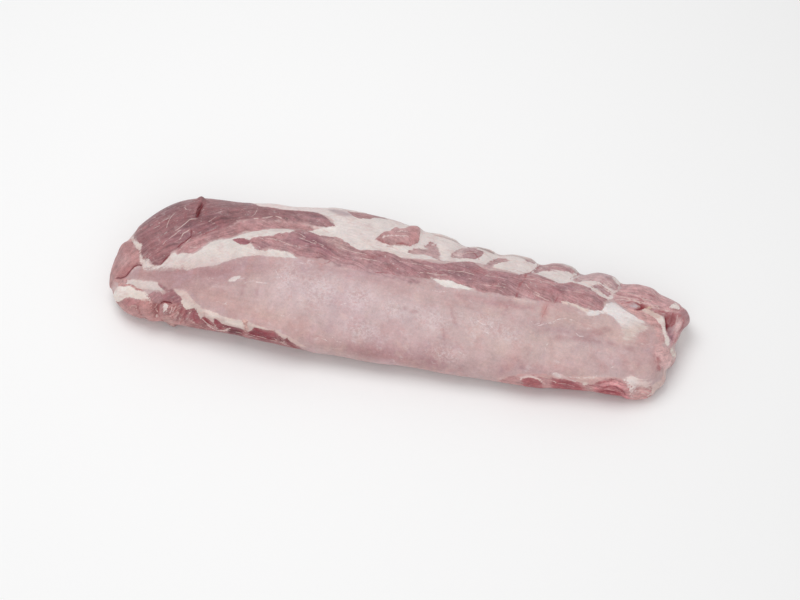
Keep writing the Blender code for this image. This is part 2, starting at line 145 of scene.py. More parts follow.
# Each area: tissue, half width of its soft edge, colour, how much grain shows, how far it stands
# proud, and its outline, x and way round in turn. Half widths after the outline make the area a
# ribbon along that line. Later areas lie over earlier ones.
areas = {
    "underFront": ("lean", 7, (186, 146, 145), 0.6, 0, [-290,-112, -216,-116, -130,-120, -60,-118,
        60,-106, 160,-98, 240,-88, 290,-70, 290,-250, -290,-250]),
    "underBack": ("lean", 7, (186, 146, 145), 0.6, 0, [-290,92, -240,112, -160,122, -40,124, 80,120,
        160,116, 240,104, 290,70, 290,250, -290,250]),
    "underFatA": ("fat", 3.5, (222, 204, 199), 0.7, 0, [-200,-132, -150,-140, -90,-136, -40,-144,
        -60,-156, -120,-160, -180,-149]),
    "underFatB": ("fat", 3.5, (224, 206, 200), 0.7, 0, [20,-128, 80,-134, 150,-122, 200,-112, 184,-134,
        110,-150, 50,-147]),
    "underFatC": ("fat", 3.5, (222, 204, 199), 0.7, 0, [-184,138, -120,146, -50,160, -16,152, -70,141,
        -130,130]),
    "underFatD": ("fat", 3.5, (224, 206, 200), 0.7, 0, [60,142, 130,132, 200,120, 192,140, 120,154,
        70,156]),
    "bladeEndTop": ("lean", 4, (174, 131, 133), 0.7, 0.2, [-295,18, -277,19, -269,30, -262,46, -257,66,
        -250,90, -238,130, -295,130]),
    "bladeEndLow": ("lean", 4, (180, 137, 137), 0.7, 0.2, [-295,-22, -280,-27, -274,-44, -266,-58,
        -262,-74, -255,-90, -240,-130, -295,-130]),
    "sirloinEnd": ("lean", 4, (184, 141, 142), 0.6, 0.2, [262,-52, 266,-40, 269,-28, 271,-12, 274,4,
        290,4, 290,-120, 236,-120, 244,-84, 252,-68]),
    "sirloinBack": ("lean", 3, (178, 137, 139), 0.8, 0.2, [256,58, 262,50, 268,43, 280,30, 290,30,
        290,130, 225,130, 236,104, 246,78]),
    "sirloinFat": ("fat", 1.8, (226, 211, 205), 0.8, 0.3, [264,62, 268,52, 274,43, 273,60, 267,77,
        258,92, 254,86, 259,74]),
    "backFat": ("fat", 2.2, (222, 210, 207), 0.3, 0.5, [-133,78, -122,75, -102,74, -90,120, -20,122,
        60,118, 150,114, 206,100, 203,58, 199,45, 188,33, 164,33, 128,42, 109,38, 93,43, 68,46, 45,36,
        22,31, -6,22, -36,22, -48,19, -67,29, -87,25, -110,33, -91,38, -81,47, -81,53, -98,61]),
    "topFat": ("fat", 1.8, (224, 208, 206), 0.3, 0.3, [-176,96, -169,68, -160,59, -150,59, -132,54,
        -109,56, -98,61, -90,120, -172,122]),
    "backLeanA": ("lean", 2.4, (176, 135, 137), 0.9, 0.2, [-70,100, -50,93, -26,96, -8,103, -16,112,
        -30,109, -44,118, -64,112]),
    "backLeanB": ("lean", 2.4, (172, 130, 133), 0.9, 0.2, [24,97, 40,89, 56,92, 72,87, 88,93, 80,102,
        60,99, 52,108, 34,104]),
    "backLeanC": ("lean", 2.4, (178, 137, 139), 0.9, 0.2, [106,91, 126,85, 140,90, 150,86, 162,96,
        146,106, 134,100, 118,104, 108,99]),
    "backLeanD": ("lean", 2.4, (172, 131, 134), 0.9, 0.2, [170,87, 186,80, 204,86, 214,98, 200,106,
        190,97, 180,103, 168,95]),
    "backLeanE": ("lean", 2.4, (170, 127, 130), 0.9, 0.2, [-152,97, -134,90, -122,94, -106,90, -96,101,
        -108,111, -124,105, -138,113, -152,107]),
    "bladeSeam": ("fat", 1.6, (224, 208, 203), 1, 0.3, [-281,8, -277,17, -273,29, -268,41, -261,57,
        -255,76, -252,91, -245,88, -250,74, -257,54, -265,38, -271,26, -276,14]),
    "bladeCap": ("lean", 1.4, (149, 107, 110), 1, 0.6, [-269,14, -264,6, -257,-2, -252,-6, -250,-18,
        -247,-26, -243,-25, -241,-23, -237,-28, -236,-32, -227,-31, -222,-17, -214,-11, -210,-2, -199,3,
        -191,10, -181,15, -177,18, -169,31, -162,34, -132,39, -92,41, -84,43, -78,46, -79,48, -91,54,
        -100,61, -109,56, -132,54, -150,59, -160,59, -170,68, -174,78, -167,87, -178,95, -170,105,
        -185,112, -198,124, -222,116, -238,112, -254,94, -262,76, -266,48]),
    "longMuscle": ("lean", 4, (143, 102, 105), 1, 0.3, [-206,30, -190,26, -172,34, -160,40, -128,43,
        -100,47, -90,50, -104,55, -132,50, -160,56, -172,74, -188,84, -204,60]),
    "capFoot": ("lean", 5, (149, 102, 106), 1, 0.2, [-222,-15, -214,-9, -208,2, -196,8, -184,16,
        -176,24, -188,26, -204,16, -216,4, -226,-8]),
    "pinkBand": ("lean", 2, (178, 134, 135), 0.7, 0.2, [-217,-15, -206,-1, -199,2, -190,11, -183,13,
        -175,20, -168,30, -160,34, -126,39, -112,40, -99,39, -96,34, -104,31, -128,30, -140,28, -148,22,
        -160,21, -168,10, -185,1, -199,-15, -204,-17, -210,-16, -214,-18]),
    "fatBand": ("fat", 1.3, (222, 212, 208), 0.35, 0.5, [-255,-36, -254,-31, -252,-30, -238,-35,
        -226,-30, -224,-26, -221,-18, -217,-17, -214,-19, -211,-17, -199,-17, -195,-13, -184,0, -168,8,
        -158,18, -137,27, -121,29, -104,22, -100,18, -116,20, -128,18, -130,16, -145,12, -150,9, -150,4,
        -141,-2, -136,-1, -133,-2, -131,1, -128,2, -110,2, -96,-4, -106,-4, -138,-8, -156,-14, -176,-27,
        -188,-30, -201,-36, -225,-38, -233,-36, -235,-38, -239,-38, -250,-32, -252,-32, -253,-36]),
    "fatBandShade": ("fat", 5, (222, 211, 206), 0.35, 0.5, [-206,-32, -180,-22, -160,-10, -160,2,
        -176,-8, -196,-20]),
    "redIsland": ("lean", 1.2, (162, 105, 112), 0.6, -0.2, [-168,6, -159,9, -154,9, -150,7, -152,2,
        -156,0, -162,2]),
    "notchFat": ("fat", 1.4, (220, 205, 200), 1, 0.4, [-269,15, -264,5, -252,-7, -252,-11, -247,-24,
        -243,-27, -242,-24, -240,-24, -240,-28, -232,-34, -243,-34, -249,-29, -255,-11, -257,-10,
        -266,2, -270,11]),
    "leftLobe": ("lean", 1.6, (184, 138, 137), 0.2, 1, [-269,10, -261,-6, -257,-10, -254,-11, -250,-25,
        -250,-28, -259,-38, -264,-37, -270,-32, -279,-36, -280,0, -278,4, -272,7]),
    "leftPale": ("lean", 3, (190, 151, 150), 0.2, 1.1, [-275,-4, -259,-18, -258,-25, -263,-26, -269,-22,
        -276,-10]),
    "leftPink": ("lean", 1.8, (194, 154, 152), 0.5, 0, [-279,-17, -267,-35, -252,-44, -247,-53,
        -262,-46, -276,-30]),
    "eyeTip": ("skin", 7, (173, 132, 129), 0.2, 0.1, [-252,-38, -246,-36, -238,-36, -209,-33, -201,-34,
        -194,-44, -196,-53, -214,-53, -222,-49, -250,-43]),
    "tongueFat": ("fat", 1.6, (218, 202, 198), 0.4, 0.3, [-257,-43, -251,-44, -240,-48, -227,-48,
        -214,-56, -218,-57, -224,-56, -240,-57, -256,-47]),
    "creamFat": ("fat", 2.6, (233, 219, 211), 0.35, 0.5, [-277,-54, -267,-45, -251,-51, -227,-67,
        -236,-67, -238,-68, -248,-64, -256,-62, -260,-64, -266,-63, -270,-73, -274,-67]),
    "leftLower": ("lean", 1.4, (192, 144, 142), 0.3, 0.9, [-270,-57, -266,-64, -256,-62, -248,-64,
        -238,-68, -231,-66, -219,-66, -216,-70, -213,-99, -230,-114, -242,-114, -252,-96, -261,-86]),
    "roseLobe": ("lean", 1.8, (184, 130, 131), 0.2, 1.3, [-260,-63, -252,-63, -247,-65, -242,-68,
        -241,-71, -250,-72, -256,-68]),
    "lowLobe": ("lean", 1.4, (192, 141, 139), 0.2, 1.6, [-240,-69, -230,-67, -225,-70, -224,-75,
        -226,-81, -232,-86, -239,-85]),
    "frontLean": ("lean", 1.1, (169, 119, 120), 1, 0.2, [-216,-62, -213,-67, -207,-69, -197,-64,
        -192,-70, -185,-70, -181,-73, -177,-84, -172,-79, -166,-84, -163,-84, -163,-80, -158,-80,
        -155,-86, -136,-86, -133,-89, -130,-82, -127,-82, -124,-80, -104,-80, -100,-82, -96,-87,
        -94,-85, -89,-87, -78,-94, -74,-120, -88,-119, -128,-112, -149,-113, -168,-109, -183,-109,
        -197,-116, -209,-130, -216,-116, -216,-86, -218,-77]),
    "darkCluster": ("lean", 1.6, (152, 96, 96), 0.9, -0.2, [-225,-69, -222,-68, -219,-71, -218,-77,
        -221,-88, -224,-85]),
    "pleats": ("lean", 1.6, (188, 141, 139), 1, 0.3, [-219,-71, -215,-68, -207,-69, -196,-67, -185,-73,
        -185,-84, -189,-109, -205,-119, -208,-86, -216,-86, -218,-81]),
    "mauveA": ("lean", 1.6, (172, 131, 133), 0.7, 0.3, [-230,-61, -228,-58, -223,-58, -218,-59,
        -215,-63, -217,-68, -222,-69, -234,-62]),
    "mauveB": ("lean", 1.6, (163, 114, 118), 0.8, 0.4, [-213,-58, -209,-55, -204,-56, -195,-64,
        -197,-67, -202,-69, -212,-68, -215,-65, -217,-61]),
    "darkLean1": ("lean", 1.3, (146, 76, 82), 0.8, 0.1, [-185,-70, -180,-72, -177,-79, -178,-82,
        -184,-81, -186,-76]),
    "darkLean2": ("lean", 1.3, (150, 84, 88), 0.8, 0.1, [-163,-80, -158,-81, -155,-87, -158,-96,
        -162,-89]),
    "darkLean3": ("lean", 1.3, (128, 74, 78), 0.8, 0, [-152,-91, -145,-88, -136,-90, -135,-110,
        -146,-121]),
    "darkLean4": ("lean", 1.6, (180, 124, 126), 0.9, 0.1, [-195,-69, -191,-72, -188,-77, -190,-85,
        -194,-85, -196,-77]),
    "darkLean5": ("lean", 2, (150, 96, 101), 0.9, 0, [-128,-88, -105,-87, -100,-109, -128,-112]),
    "frontFat": ("fat", 1.2, (217, 196, 190), 0.35, 0.6, [-207,-54, -195,-56, -184,-65, -175,-70,
        -152,-75, -132,-76, -100,-80, -81,-88, -70,-95, -78,-94, -94,-85, -96,-87, -100,-82, -104,-80,
        -124,-80, -127,-82, -130,-82, -133,-89, -136,-86, -155,-86, -158,-80, -163,-80, -163,-84,
        -166,-84, -172,-79, -177,-84, -181,-73, -185,-70, -192,-70, -197,-63, -206,-56]),
    "whiteBlob": ("fat", 1.5, (230, 214, 210), 0.9, 0.2, [-215,-72, -213,-70, -210,-72, -210,-76,
        -211,-78, -213,-77, -214,-80, -216,-79]),
    "raggedFlap": ("lean", 1.4, (194, 154, 149), 0.8, 0.3, [-216,-88, -211,-84, -206,-86, -204,-94,
        -210,-126, -212,-122, -216,-95]),
    "strap": ("lean", 1.4, (178, 135, 137), 1, 0.5, [-151,7, -149,11, -130,15, -128,18, -116,21,
        -112,26, -116,28, -104,31, -87,24, -80,26, -74,30, -67,29, -48,19, -43,19, -29,24, -15,24,
        -8,21, -2,21, 13,26, 36,27, 50,39, 57,43, 62,44, 73,36, 78,35, 84,38, 91,38, 108,36, 112,43,
        117,48, 125,47, 133,43, 148,39, 153,41, 158,49, 164,52, 176,48, 188,40, 193,42, 195,42, 193,31,
        194,25, 192,22, 182,20, 160,20, 149,17, 143,18, 139,16, 109,14, 77,9, 50,12, 35,11, -8,2,
        -46,-1, -60,1, -73,1, -99,-2, -109,2, -133,2, -141,-2, -146,1]),
    "strapBladeEnd": ("lean", 4, (146, 104, 111), 1, 0.4, [-118,12, -100,12, -84,8, -74,4, -66,10,
        -74,20, -90,24, -108,28, -112,22, -104,18]),
    "strapDark": ("lean", 5, (165, 125, 129), 1, 0.3, [-30,8, 0,10, 28,14, 56,18, 86,18, 108,20, 112,34,
        92,34, 60,34, 30,24, -4,18, -30,20]),
    "strapRed": ("lean", 4, (163, 117, 121), 1, 0.3, [-24,6, 0,8, 24,14, 40,22, 60,32, 84,34, 92,30,
        60,24, 30,16, 0,4, -20,2]),
    "strapWeb": ("lean", 4, (167, 124, 129), 1, 0.2, [140,22, 152,22, 160,34, 156,44, 146,36, 138,30]),
    "strapPale": ("lean", 5, (185, 153, 151), 0.8, 0.5, [-85,22, -70,26, -63,24, -50,16, -57,14, -71,16,
        -79,17]),
    "strapFoot": ("lean", 3, (180, 137, 139), 0.7, 0.2, [112,16, 132,16, 150,19, 166,21, 160,27, 142,24,
        122,22, 112,21]),
    "strapBlend": ("lean", 4, (183, 147, 150), 0.7, 0.2, [-67,1, -8,2, 19,5, 18,0, 6,-3, -10,-5,
        -64,-4]),
    "strapFade": ("skin", 5, (184, 150, 152), 0.3, 0, [-98,-4, -53,-5, 6,-2, 5,-10, -56,-12, -78,-12,
        -97,-9]),
    "strapFadeRight": ("skin", 3, (190, 152, 153), 0.3, 0, [54,2, 93,4, 131,9, 132,4, 113,0, 94,-2,
        55,-2]),
    "crescent": ("fat", 1, (230, 221, 217), 0.3, 0.7, [28,10, 50,12, 74,9, 43,5]),
    "edgeLean": ("lean", 1.3, (171, 130, 131), 0.8, 0.2, [-79,76, -72,75, -59,78, -52,97, -44,99,
        -36,82, -31,81, -41,78, -46,74, -49,66, -55,66, -58,63, -64,65, -69,70]),
    "edgeSheen": ("fat", 2.2, (183, 164, 167), 0.3, 0.3, [-93,71, -88,74, -79,74, -70,70, -66,66,
        -73,63, -80,63, -87,66]),
    "block": ("lean", 1.1, (188, 148, 148), 0.15, 1.4, [-36,38, -32,40, -29,45, -24,48, -21,59, -17,56,
        -12,60, -9,67, -3,72, 0,72, 4,50, -3,42, -18,36]),
    "blockRed": ("lean", 2.4, (189, 141, 141), 0.15, 1.4, [-9,63, 0,71, 4,52, 2,48, -2,44, -5,47]),
    # The slit: its raised lip is painted lighter, partly its own pink and partly a painted highlight;
    # painted shadow fills the slit.
    "slitLip": ("lean", 1.3, (162, 112, 115), 0.5, 2.6, [-218,51, -215,53, -215,41, -214,33, -216,32,
        -218,39]),
    "slitShadow": ("lean", 0.8, (118, 44, 50), 0, -0.5, [-214,51, -212,50, -210,28, -212,29, -214,37]),
    "lobeLean1": ("lean", 2.6, (185, 153, 153), 0.55, 0.2, [-2,38, 2,43, 14,49, 11,52, 15,58, 19,58,
        17,54, 21,56, 25,52, 28,46, 31,35, 16,40, 4,35, -1,35]),
    "lobeLean2": ("lean", 2.6, (178, 146, 148), 0.55, 0.2, [41,46, 42,55, 46,66, 52,72, 67,61, 67,56,
        63,51, 46,46]),
    "lobeLean3": ("lean", 2.6, (184, 150, 151), 0.55, 0.2, [73,38, 74,49, 77,56, 83,64, 91,62, 94,58,
        88,57, 83,53, 77,36]),
    "lobeLean4": ("lean", 2.6, (184, 149, 151), 0.55, 0.2, [119,47, 123,71, 131,70, 138,71, 156,67,
        161,73, 156,60, 145,58, 140,56, 127,57, 123,49]),
    "lobeLean5a": ("lean", 2.6, (193, 161, 162), 0.55, 0.2, [158,53, 166,78, 183,64, 192,60, 198,58,
        202,56, 199,53, 194,53, 167,59, 162,54]),
    "lobeLean5b": ("lean", 2.6, (188, 158, 161), 0.55, 0.2, [176,51, 180,53, 187,53, 198,49, 195,46]),
    "lobeEdge5": ("lean", 2.6, (197, 165, 168), 0.55, 0.2, [174,74, 176,91, 193,80, 198,80, 194,60,
        179,65, 173,75]),
    "lobePale2": ("lean", 2.6, (208, 182, 181), 0.4, 0.2, [40,44, 40,51, 47,69, 49,48]),
    "lobeCore2": ("lean", 2.4, (169, 135, 137), 0.6, 0.1, [51,54, 53,60, 58,63, 64,61, 66,57, 62,53,
        56,51]),
    "lobeTip3": ("lean", 1.6, (176, 144, 147), 0.3, 0.1, [104,66, 111,66, 119,73, 117,63, 111,60]),
    "lobeCore4": ("lean", 1.8, (178, 139, 141), 0.6, 0.2, [131,64, 134,67, 141,66, 153,62, 141,58,
        134,59]),
    # Along the crest the fat is painted grey, partly as shade where the top turns away; painted shadow
    # lies under it, and the lean there is darker, partly as painted shade of the edge.
    "crestRim": ("fat", 1.3, (190, 170, 167), 0.2, 0, [10,80, 18,69, 30,69, 37,71, 42,76, 50,76, 55,75,
        65,66, 73,65, 77,68, 82,76, 91,68, 101,65, 109,64, 115,65, 120,75, 116,72, 141,73, 150,68,
        161,70, 160,79, 157,76, 176,74, 186,63, 194,59, 201,59, 204,55, 204,59, 201,62, 194,62, 186,66,
        176,77, 157,80, 161,74, 150,71, 141,77, 116,75, 120,79, 115,68, 109,68, 101,68, 91,72, 65,69,
        55,78, 50,80, 30,73, 18,72, 10,84]),
    "crestShadow": ("fat", 1, (158, 140, 138), 0.2, 0, [53,74, 57,75, 64,69, 73,66, 77,69, 77,73, 73,70,
        64,73, 57,78, 53,78]),
    "crestLean": ("lean", 1.8, (178, 146, 148), 0.5, 0.1, [160,68, 168,76, 172,76, 186,62, 194,58,
        201,58, 202,62, 194,62, 186,66, 176,77, 173,77, 168,83, 160,72]),
    "tailLean": ("lean", 1.4, (196, 154, 155), 0.55, 0.4, [200,45, 202,53, 206,60, 203,66, 208,89,
        216,88, 230,80, 237,78, 244,84, 249,77, 254,77, 261,59, 274,1, 273,0, 270,-1, 266,11, 262,19,
        254,30, 246,37, 238,41, 232,41, 216,32]),
    "tailRim": ("lean", 2.4, (180, 142, 144), 0.6, 0.4, [207,58, 215,74, 223,72, 230,67, 238,71, 240,69,
        240,74, 237,71, 229,71, 224,72, 216,77, 209,71]),
    "tailFat": ("fat", 1.3, (228, 214, 209), 0.4, 0.3, [253,41, 259,47, 264,21]),
    "membrane": ("fat", 2, (203, 182, 186), 0.9, 0.2, [216,40, 220,42, 227,43, 222,38]),
    "strapFat": ("fat", 1.2, (224, 206, 198), 0.35, 0.4, [154,20, 167,21, 190,18, 187,14, 170,18,
        162,19, 155,18]),
    "rightFat": ("fat", 1.5, (231, 222, 221), 0.35, 0.5, [194,26, 199,39, 203,40, 213,30, 235,21,
        220,10, 215,11, 201,20, 196,20, 183,13, 179,14, 182,19, 193,22]),
    "rightPale": ("fat", 7, (214, 194, 187), 0.25, 0.2, [213,9, 231,18, 238,17, 236,11, 229,5, 227,-2,
        220,-5]),
    "underTail": ("lean", 2.4, (209, 165, 163), 0.5, 0, [210,40, 216,34, 224,35, 229,41, 237,38, 245,33,
        250,22, 254,8, 244,23, 235,27, 226,28, 218,30]),
    "pocketWall": ("lean", 2.2, (213, 180, 178), 0.3, 0, [258,26, 269,1, 264,-14, 261,-5, 260,24]),
    "pocketLow": ("lean", 2.4, (190, 148, 157), 0.3, 0, [256,10, 259,20, 265,-5, 262,-17]),
    # Painted shadow in the pocket under the overhang, set in a shallow dent.
    "pocketShadow": ("lean", 1.8, (134, 52, 60), 0.1, -1.2, [251,33, 258,26, 261,19, 258,28, 256,9,
        253,13, 254,20]),
    "rimFat": ("fat", 1.4, (230, 216, 210), 0.1, 0.4, [241.8,38.7, 246.1,31, 249.5,23.7, 251.9,15.8,
        253.8,8.4, 256.1,0.9, 258.2,-6.8, 260.5,-14.6], [1.6, 3.2, 3, 2, 1.2, 1.5, 2, 0.9]),
    "earRim": ("lean", 1.4, (181, 136, 138), 0.8, 0.2, [266,17, 275,0, 269,-5, 268,-13, 264,-18,
        264,-14, 267,0, 269,3]),
    "underTailFat": ("fat", 1, (219, 193, 185), 0.6, 0.1, [226,43, 240,40, 248,33, 248,27, 231,36,
        226,41]),
    "rimBand": ("lean", 3, (205, 161, 159), 0.6, 0.1, [225,28, 232,29, 240,27, 248,18, 256,-6, 254,-8,
        243,17, 234,23, 227,22]),
    "rightTab": ("lean", 3, (214, 174, 173), 0.3, 0.4, [248,-6, 253,-7, 265,-24, 268,-31, 267,-36,
        262,-40, 256,-36, 249,-14]),
    "stripAbove": ("fat", 2.2, (205, 164, 162), 0.5, 0.1, [114,-72, 132,-63, 150,-58, 169,-56, 219,-42,
        226,-43, 211,-47, 198,-59, 183,-58, 142,-65, 125,-70]),
    "frontStripRight": ("lean", 1.8, (192, 146, 145), 0.8, 0.1, [112,-79, 120,-72, 125,-68, 133,-68,
        142,-63, 162,-61, 183,-56, 193,-55, 198,-57, 204,-52, 211,-46, 219,-44, 226,-44, 232,-49,
        235,-56, 235,-65, 232,-84, 202,-82, 193,-92, 171,-98, 142,-97, 124,-101]),
    "stripLens": ("lean", 1.4, (170, 98, 102), 0.6, 0.4, [134,-71, 136,-67, 140,-64, 144,-63, 149,-64,
        153,-67, 156,-94, 148,-87, 139,-91]),
    "stripDark": ("lean", 2, (168, 92, 97), 0.8, 0.2, [162,-66, 164,-62, 169,-60, 180,-58, 185,-59,
        192,-64, 196,-84, 180,-94, 163,-97]),
    "stripLobe": ("lean", 2.6, (209, 143, 147), 0.9, 0.6, [201,-59, 204,-53, 209,-49, 216,-46, 222,-46,
        228,-48, 232,-53, 235,-61, 236,-79, 225,-81, 214,-91, 202,-66]),
    "stripDeep": ("lean", 2.6, (168, 88, 94), 0.8, 0.3, [204,-64, 211,-57, 220,-55, 228,-58, 234,-79,
        223,-90, 215,-89, 207,-81]),
    "cornerPink": ("lean", 3.2, (204, 156, 155), 0.7, 0.3, [235,-51, 248,-49, 257,-55, 255,-74,
        238,-90]),
    "stripFleck1": ("fat", 1, (222, 204, 198), 0.3, 0.3, [190,-55, 194,-55, 195,-59, 191,-60]),
    "stripFleck2": ("fat", 1, (224, 210, 206), 0.3, 0.3, [160,-55, 165,-53, 170,-54, 171,-57, 165,-58]),
    "cornerPale": ("fat", 5, (230, 204, 200), 0.4, 0.1, [242,-41, 247,-42, 252,-46, 252,-52, 247,-51,
        243,-47]),
    "cornerFat": ("fat", 3.4, (228, 199, 195), 1, 0.1, [230,-41, 234,-39, 239,-39, 243,-42, 243,-45,
        239,-47, 236,-46]),
    "cornerWhite": ("fat", 1.6, (234, 216, 212), 0.8, 0.2, [232,-41, 236,-39, 240,-40, 242,-43, 239,-46,
        235,-45, 232,-44]),
    "beigeEdge": ("fat", 2.5, (214, 186, 181), 0.4, 0.1, [254,-51, 260,-46, 262,-40, 267,-36, 268,-31,
        264,-41, 264,-46, 253,-66, 245,-66, 241,-61]),
    "frill": ("fat", 1.2, (226, 214, 206), 0.4, 0.2, [262,-18, 265,-20, 270,-32, 265,-26]),
    "arcLens": ("fat", 0.7, (230, 208, 204), 0.2, 0.3, [132.4,-72.2, 134.4,-66.9, 138.7,-63.6,
        144.3,-63.1, 150.2,-64.7, 156.2,-70.4], 0.9),
    "arcDark": ("fat", 0.7, (226, 202, 199), 0.2, 0.3, [168,-53, 173.5,-55.4, 178.5,-56.9,
        185.2,-56.9], 0.9),
    "arcDark2": ("fat", 0.6, (222, 192, 190), 0.2, 0.2, [162.5,-62.5, 165,-64.4, 167.6,-68.6], 0.7),
    "lobeLight1": ("lean", 0.8, (208, 150, 153), 0.3, 0.2, [206.7,-53.6, 213.7,-49.4, 221.1,-48.6,
        227.7,-52.1, 232.8,-61.7], 0.8),
    "lobeLight2": ("lean", 0.7, (206, 146, 149), 0.3, 0.2, [211,-59.3, 217.2,-54.7, 223.8,-55.3,
        230,-62.5], 0.7),
    "lobeDark1": ("lean", 0.8, (134, 44, 56), 0.2, -0.2, [209.9,-56.9, 215.1,-52.9, 221.6,-52.2,
        227.6,-56, 232,-63.9], 0.9),
    "lobeDark2": ("lean", 0.8, (140, 50, 60), 0.2, -0.2, [207.6,-64.6, 214.9,-60.8, 221.5,-60.8,
        227.4,-65.7], 0.9),
    "lobeDark3": ("lean", 0.8, (146, 58, 66), 0.2, -0.2, [204.7,-52.8, 209.8,-49, 216.9,-46.5], 0.7),
    "arcCornerA": ("fat", 0.7, (234, 214, 210), 0.2, 0.5, [227.9,-43.3, 232.3,-48.1, 235.4,-55.2,
        236.9,-65.3], 0.8),
    "cornerGap": ("lean", 0.7, (198, 140, 140), 0.3, -0.3, [229.7,-43.8, 233.5,-48.5, 236.5,-55.5,
        238.2,-64.8], 0.8),
    "arcCornerB": ("fat", 0.7, (236, 218, 214), 0.2, 0.5, [230.7,-43.2, 234.6,-48.3, 237.7,-55.4,
        239.6,-64.3], 0.8),
    "cornerGap2": ("lean", 0.7, (204, 150, 149), 0.3, -0.3, [233,-44.8, 236.3,-49.5, 239,-55.8], 0.7),
    "arcCornerC": ("fat", 0.7, (232, 210, 206), 0.2, 0.3, [234,-45, 237.6,-49.8, 239.9,-54.2], 0.7),
    "frillFold": ("lean", 0.8, (176, 126, 124), 0.3, -0.5, [237.9,-56, 242.1,-53.4, 246.8,-54.8,
        251.7,-58.2, 254.9,-62.9], 0.8),
    "frillLight": ("fat", 0.8, (228, 204, 198), 0.3, 0.4, [241,-51.5, 246.2,-50.7, 251.3,-55.7,
        254.5,-59], 0.8),
    "pleatFat1": ("fat", 0.9, (202, 166, 162), 0.3, 0.2, [-193.6,-69.5, -196.2,-74.5,
        -197.8,-78.1], 0.6),
    "pleatFat3": ("fat", 0.9, (200, 162, 159), 0.3, 0.2, [-195.4,-75.6, -197.9,-79.7, -198.6,-83.9,
        -197,-88.7, -196.1,-91.9], 0.5),
    "pleatFat4": ("fat", 0.9, (206, 170, 167), 0.3, 0.3, [-185.1,-73.3, -188.4,-78.3, -189.1,-83.1,
        -186.7,-87.9, -182.2,-90.2, -177.2,-89], 0.6),
    "pleatFat5": ("fat", 0.9, (208, 176, 172), 0.3, 0.3, [-168.4,-77, -165.9,-83.3, -161.8,-88.9,
        -157.6,-93.4, -153.2,-94.1], 0.4),
    "pleatDark1": ("lean", 1.1, (142, 76, 82), 0.5, -0.2, [-194.6,-70.3, -196.7,-76.2, -198.8,-82,
        -200.6,-89.3], 0.9),
    "pleatDark2": ("lean", 1.1, (138, 72, 78), 0.5, -0.2, [-188.4,-72.3, -191.8,-78.6, -192.9,-84.8,
        -192,-92.3], 0.9),
    "pleatDark3": ("lean", 1.1, (142, 76, 82), 0.5, -0.2, [-204.2,-70.8, -206,-75.3,
        -208.9,-81.8], 0.8),
    "fatWedge": ("fat", 1, (223, 205, 198), 0.4, 0.4, [-198,-65, -195,-63, -184,-71, -192,-75]),
    "creamSpot": ("fat", 1.8, (236, 221, 212), 0.4, 0.5, [-151,-77, -134,-78, -134,-83, -140,-84,
        -147,-82, -152,-80]),
    "creamSpot2": ("fat", 1.8, (234, 218, 210), 0.4, 0.5, [-172,-72, -167,-72, -160,-74, -158,-76,
        -164,-77, -169,-75]),
    "frontFatMid": ("fat", 1, (214, 194, 188), 0.4, 0.5, [-133,-82, -129,-80, -123,-80, -128,-89,
        -131,-90, -133,-88]),
    "frontFatTop": ("fat", 1, (214, 192, 186), 0.5, 0.5, [-101,-82, -88,-87, -82,-91, -77,-96, -81,-94,
        -89,-87]),
    "fatNotch": ("lean", 2, (224, 188, 178), 0.4, 0.2, [-135,-75, -130,-75, -129,-84, -131,-89,
        -133,-88, -132,-81]),
    "chunkA": ("lean", 1.2, (156, 92, 98), 0.8, 0, [-185,-73, -183,-74, -179,-82, -177,-86, -179,-90,
        -187,-88, -188,-83]),
    "chunkB": ("lean", 1, (150, 78, 84), 0.8, 0, [-175,-81, -172,-79, -163,-94, -167,-93, -175,-86]),
    "chunkC": ("lean", 1, (150, 66, 78), 0.8, 0, [-164,-80, -162,-78, -160,-80, -156,-88, -155,-92,
        -158,-96, -160,-93]),
    "chunkD": ("lean", 1, (134, 64, 72), 0.8, -0.2, [-156,-86, -144,-87, -134,-91, -133,-94, -136,-96,
        -140,-96, -149,-93, -153,-91]),
    "chunkE": ("lean", 1, (106, 44, 52), 0.6, -0.4, [-150,-95, -146,-92, -142,-91, -135,-93, -138,-97,
        -150,-100]),
    "chunkF": ("lean", 1.2, (136, 54, 66), 0.8, -0.1, [-129,-91, -122,-80, -116,-82, -103,-83, -101,-86,
        -100,-90, -104,-95, -115,-96, -126,-95, -129,-94]),
    "chunkLight": ("lean", 1.4, (162, 94, 100), 0.8, 0, [-108,-83, -104,-83, -101,-86, -103,-89,
        -107,-89, -109,-86]),
    "chunkG": ("lean", 0.9, (124, 56, 62), 0.6, -0.1, [-99,-86, -97,-85, -95,-88, -95,-94, -97,-95]),
    "chunkH": ("lean", 1, (146, 74, 78), 0.7, -0.1, [-92,-88, -90,-86, -88,-88, -80,-105, -86,-104,
        -90,-100, -92,-95]),
    "eyeDark": ("lean", 0.9, (124, 38, 46), 0.2, -0.7, [225,44, 232,42, 225,36, 223,37, 227,42]),
    "creamFleck": ("fat", 1.1, (208, 184, 162), 0.5, 0.1, [231,43, 238,43, 234,42]),
    "palePatch": ("fat", 1.5, (216, 188, 182), 0.7, 0.1, [180,-52, 200,-46, 203,-47, 197,-50, 182,-54]),
    "tailPaleA": ("fat", 0.8, (216, 190, 187), 0.3, 0.2, [224.9,49.6, 228.1,48.3, 231.5,47.7], 0.6),
    "tailPaleB": ("fat", 0.8, (212, 184, 181), 0.3, 0.2, [237.5,62.8, 240.2,61.3, 239.7,55.1], 0.5),
    "tailPaleC": ("fat", 1, (206, 170, 172), 0.3, 0.2, [205.3,42.3, 209.4,45.1, 215.7,46.1, 222.3,46,
        228.2,45.2], 0.6),
    "tailPaleD": ("fat", 0.8, (208, 182, 181), 0.3, 0.1, [197,51.3, 200.9,53.3, 205.1,57.5], 0.4),
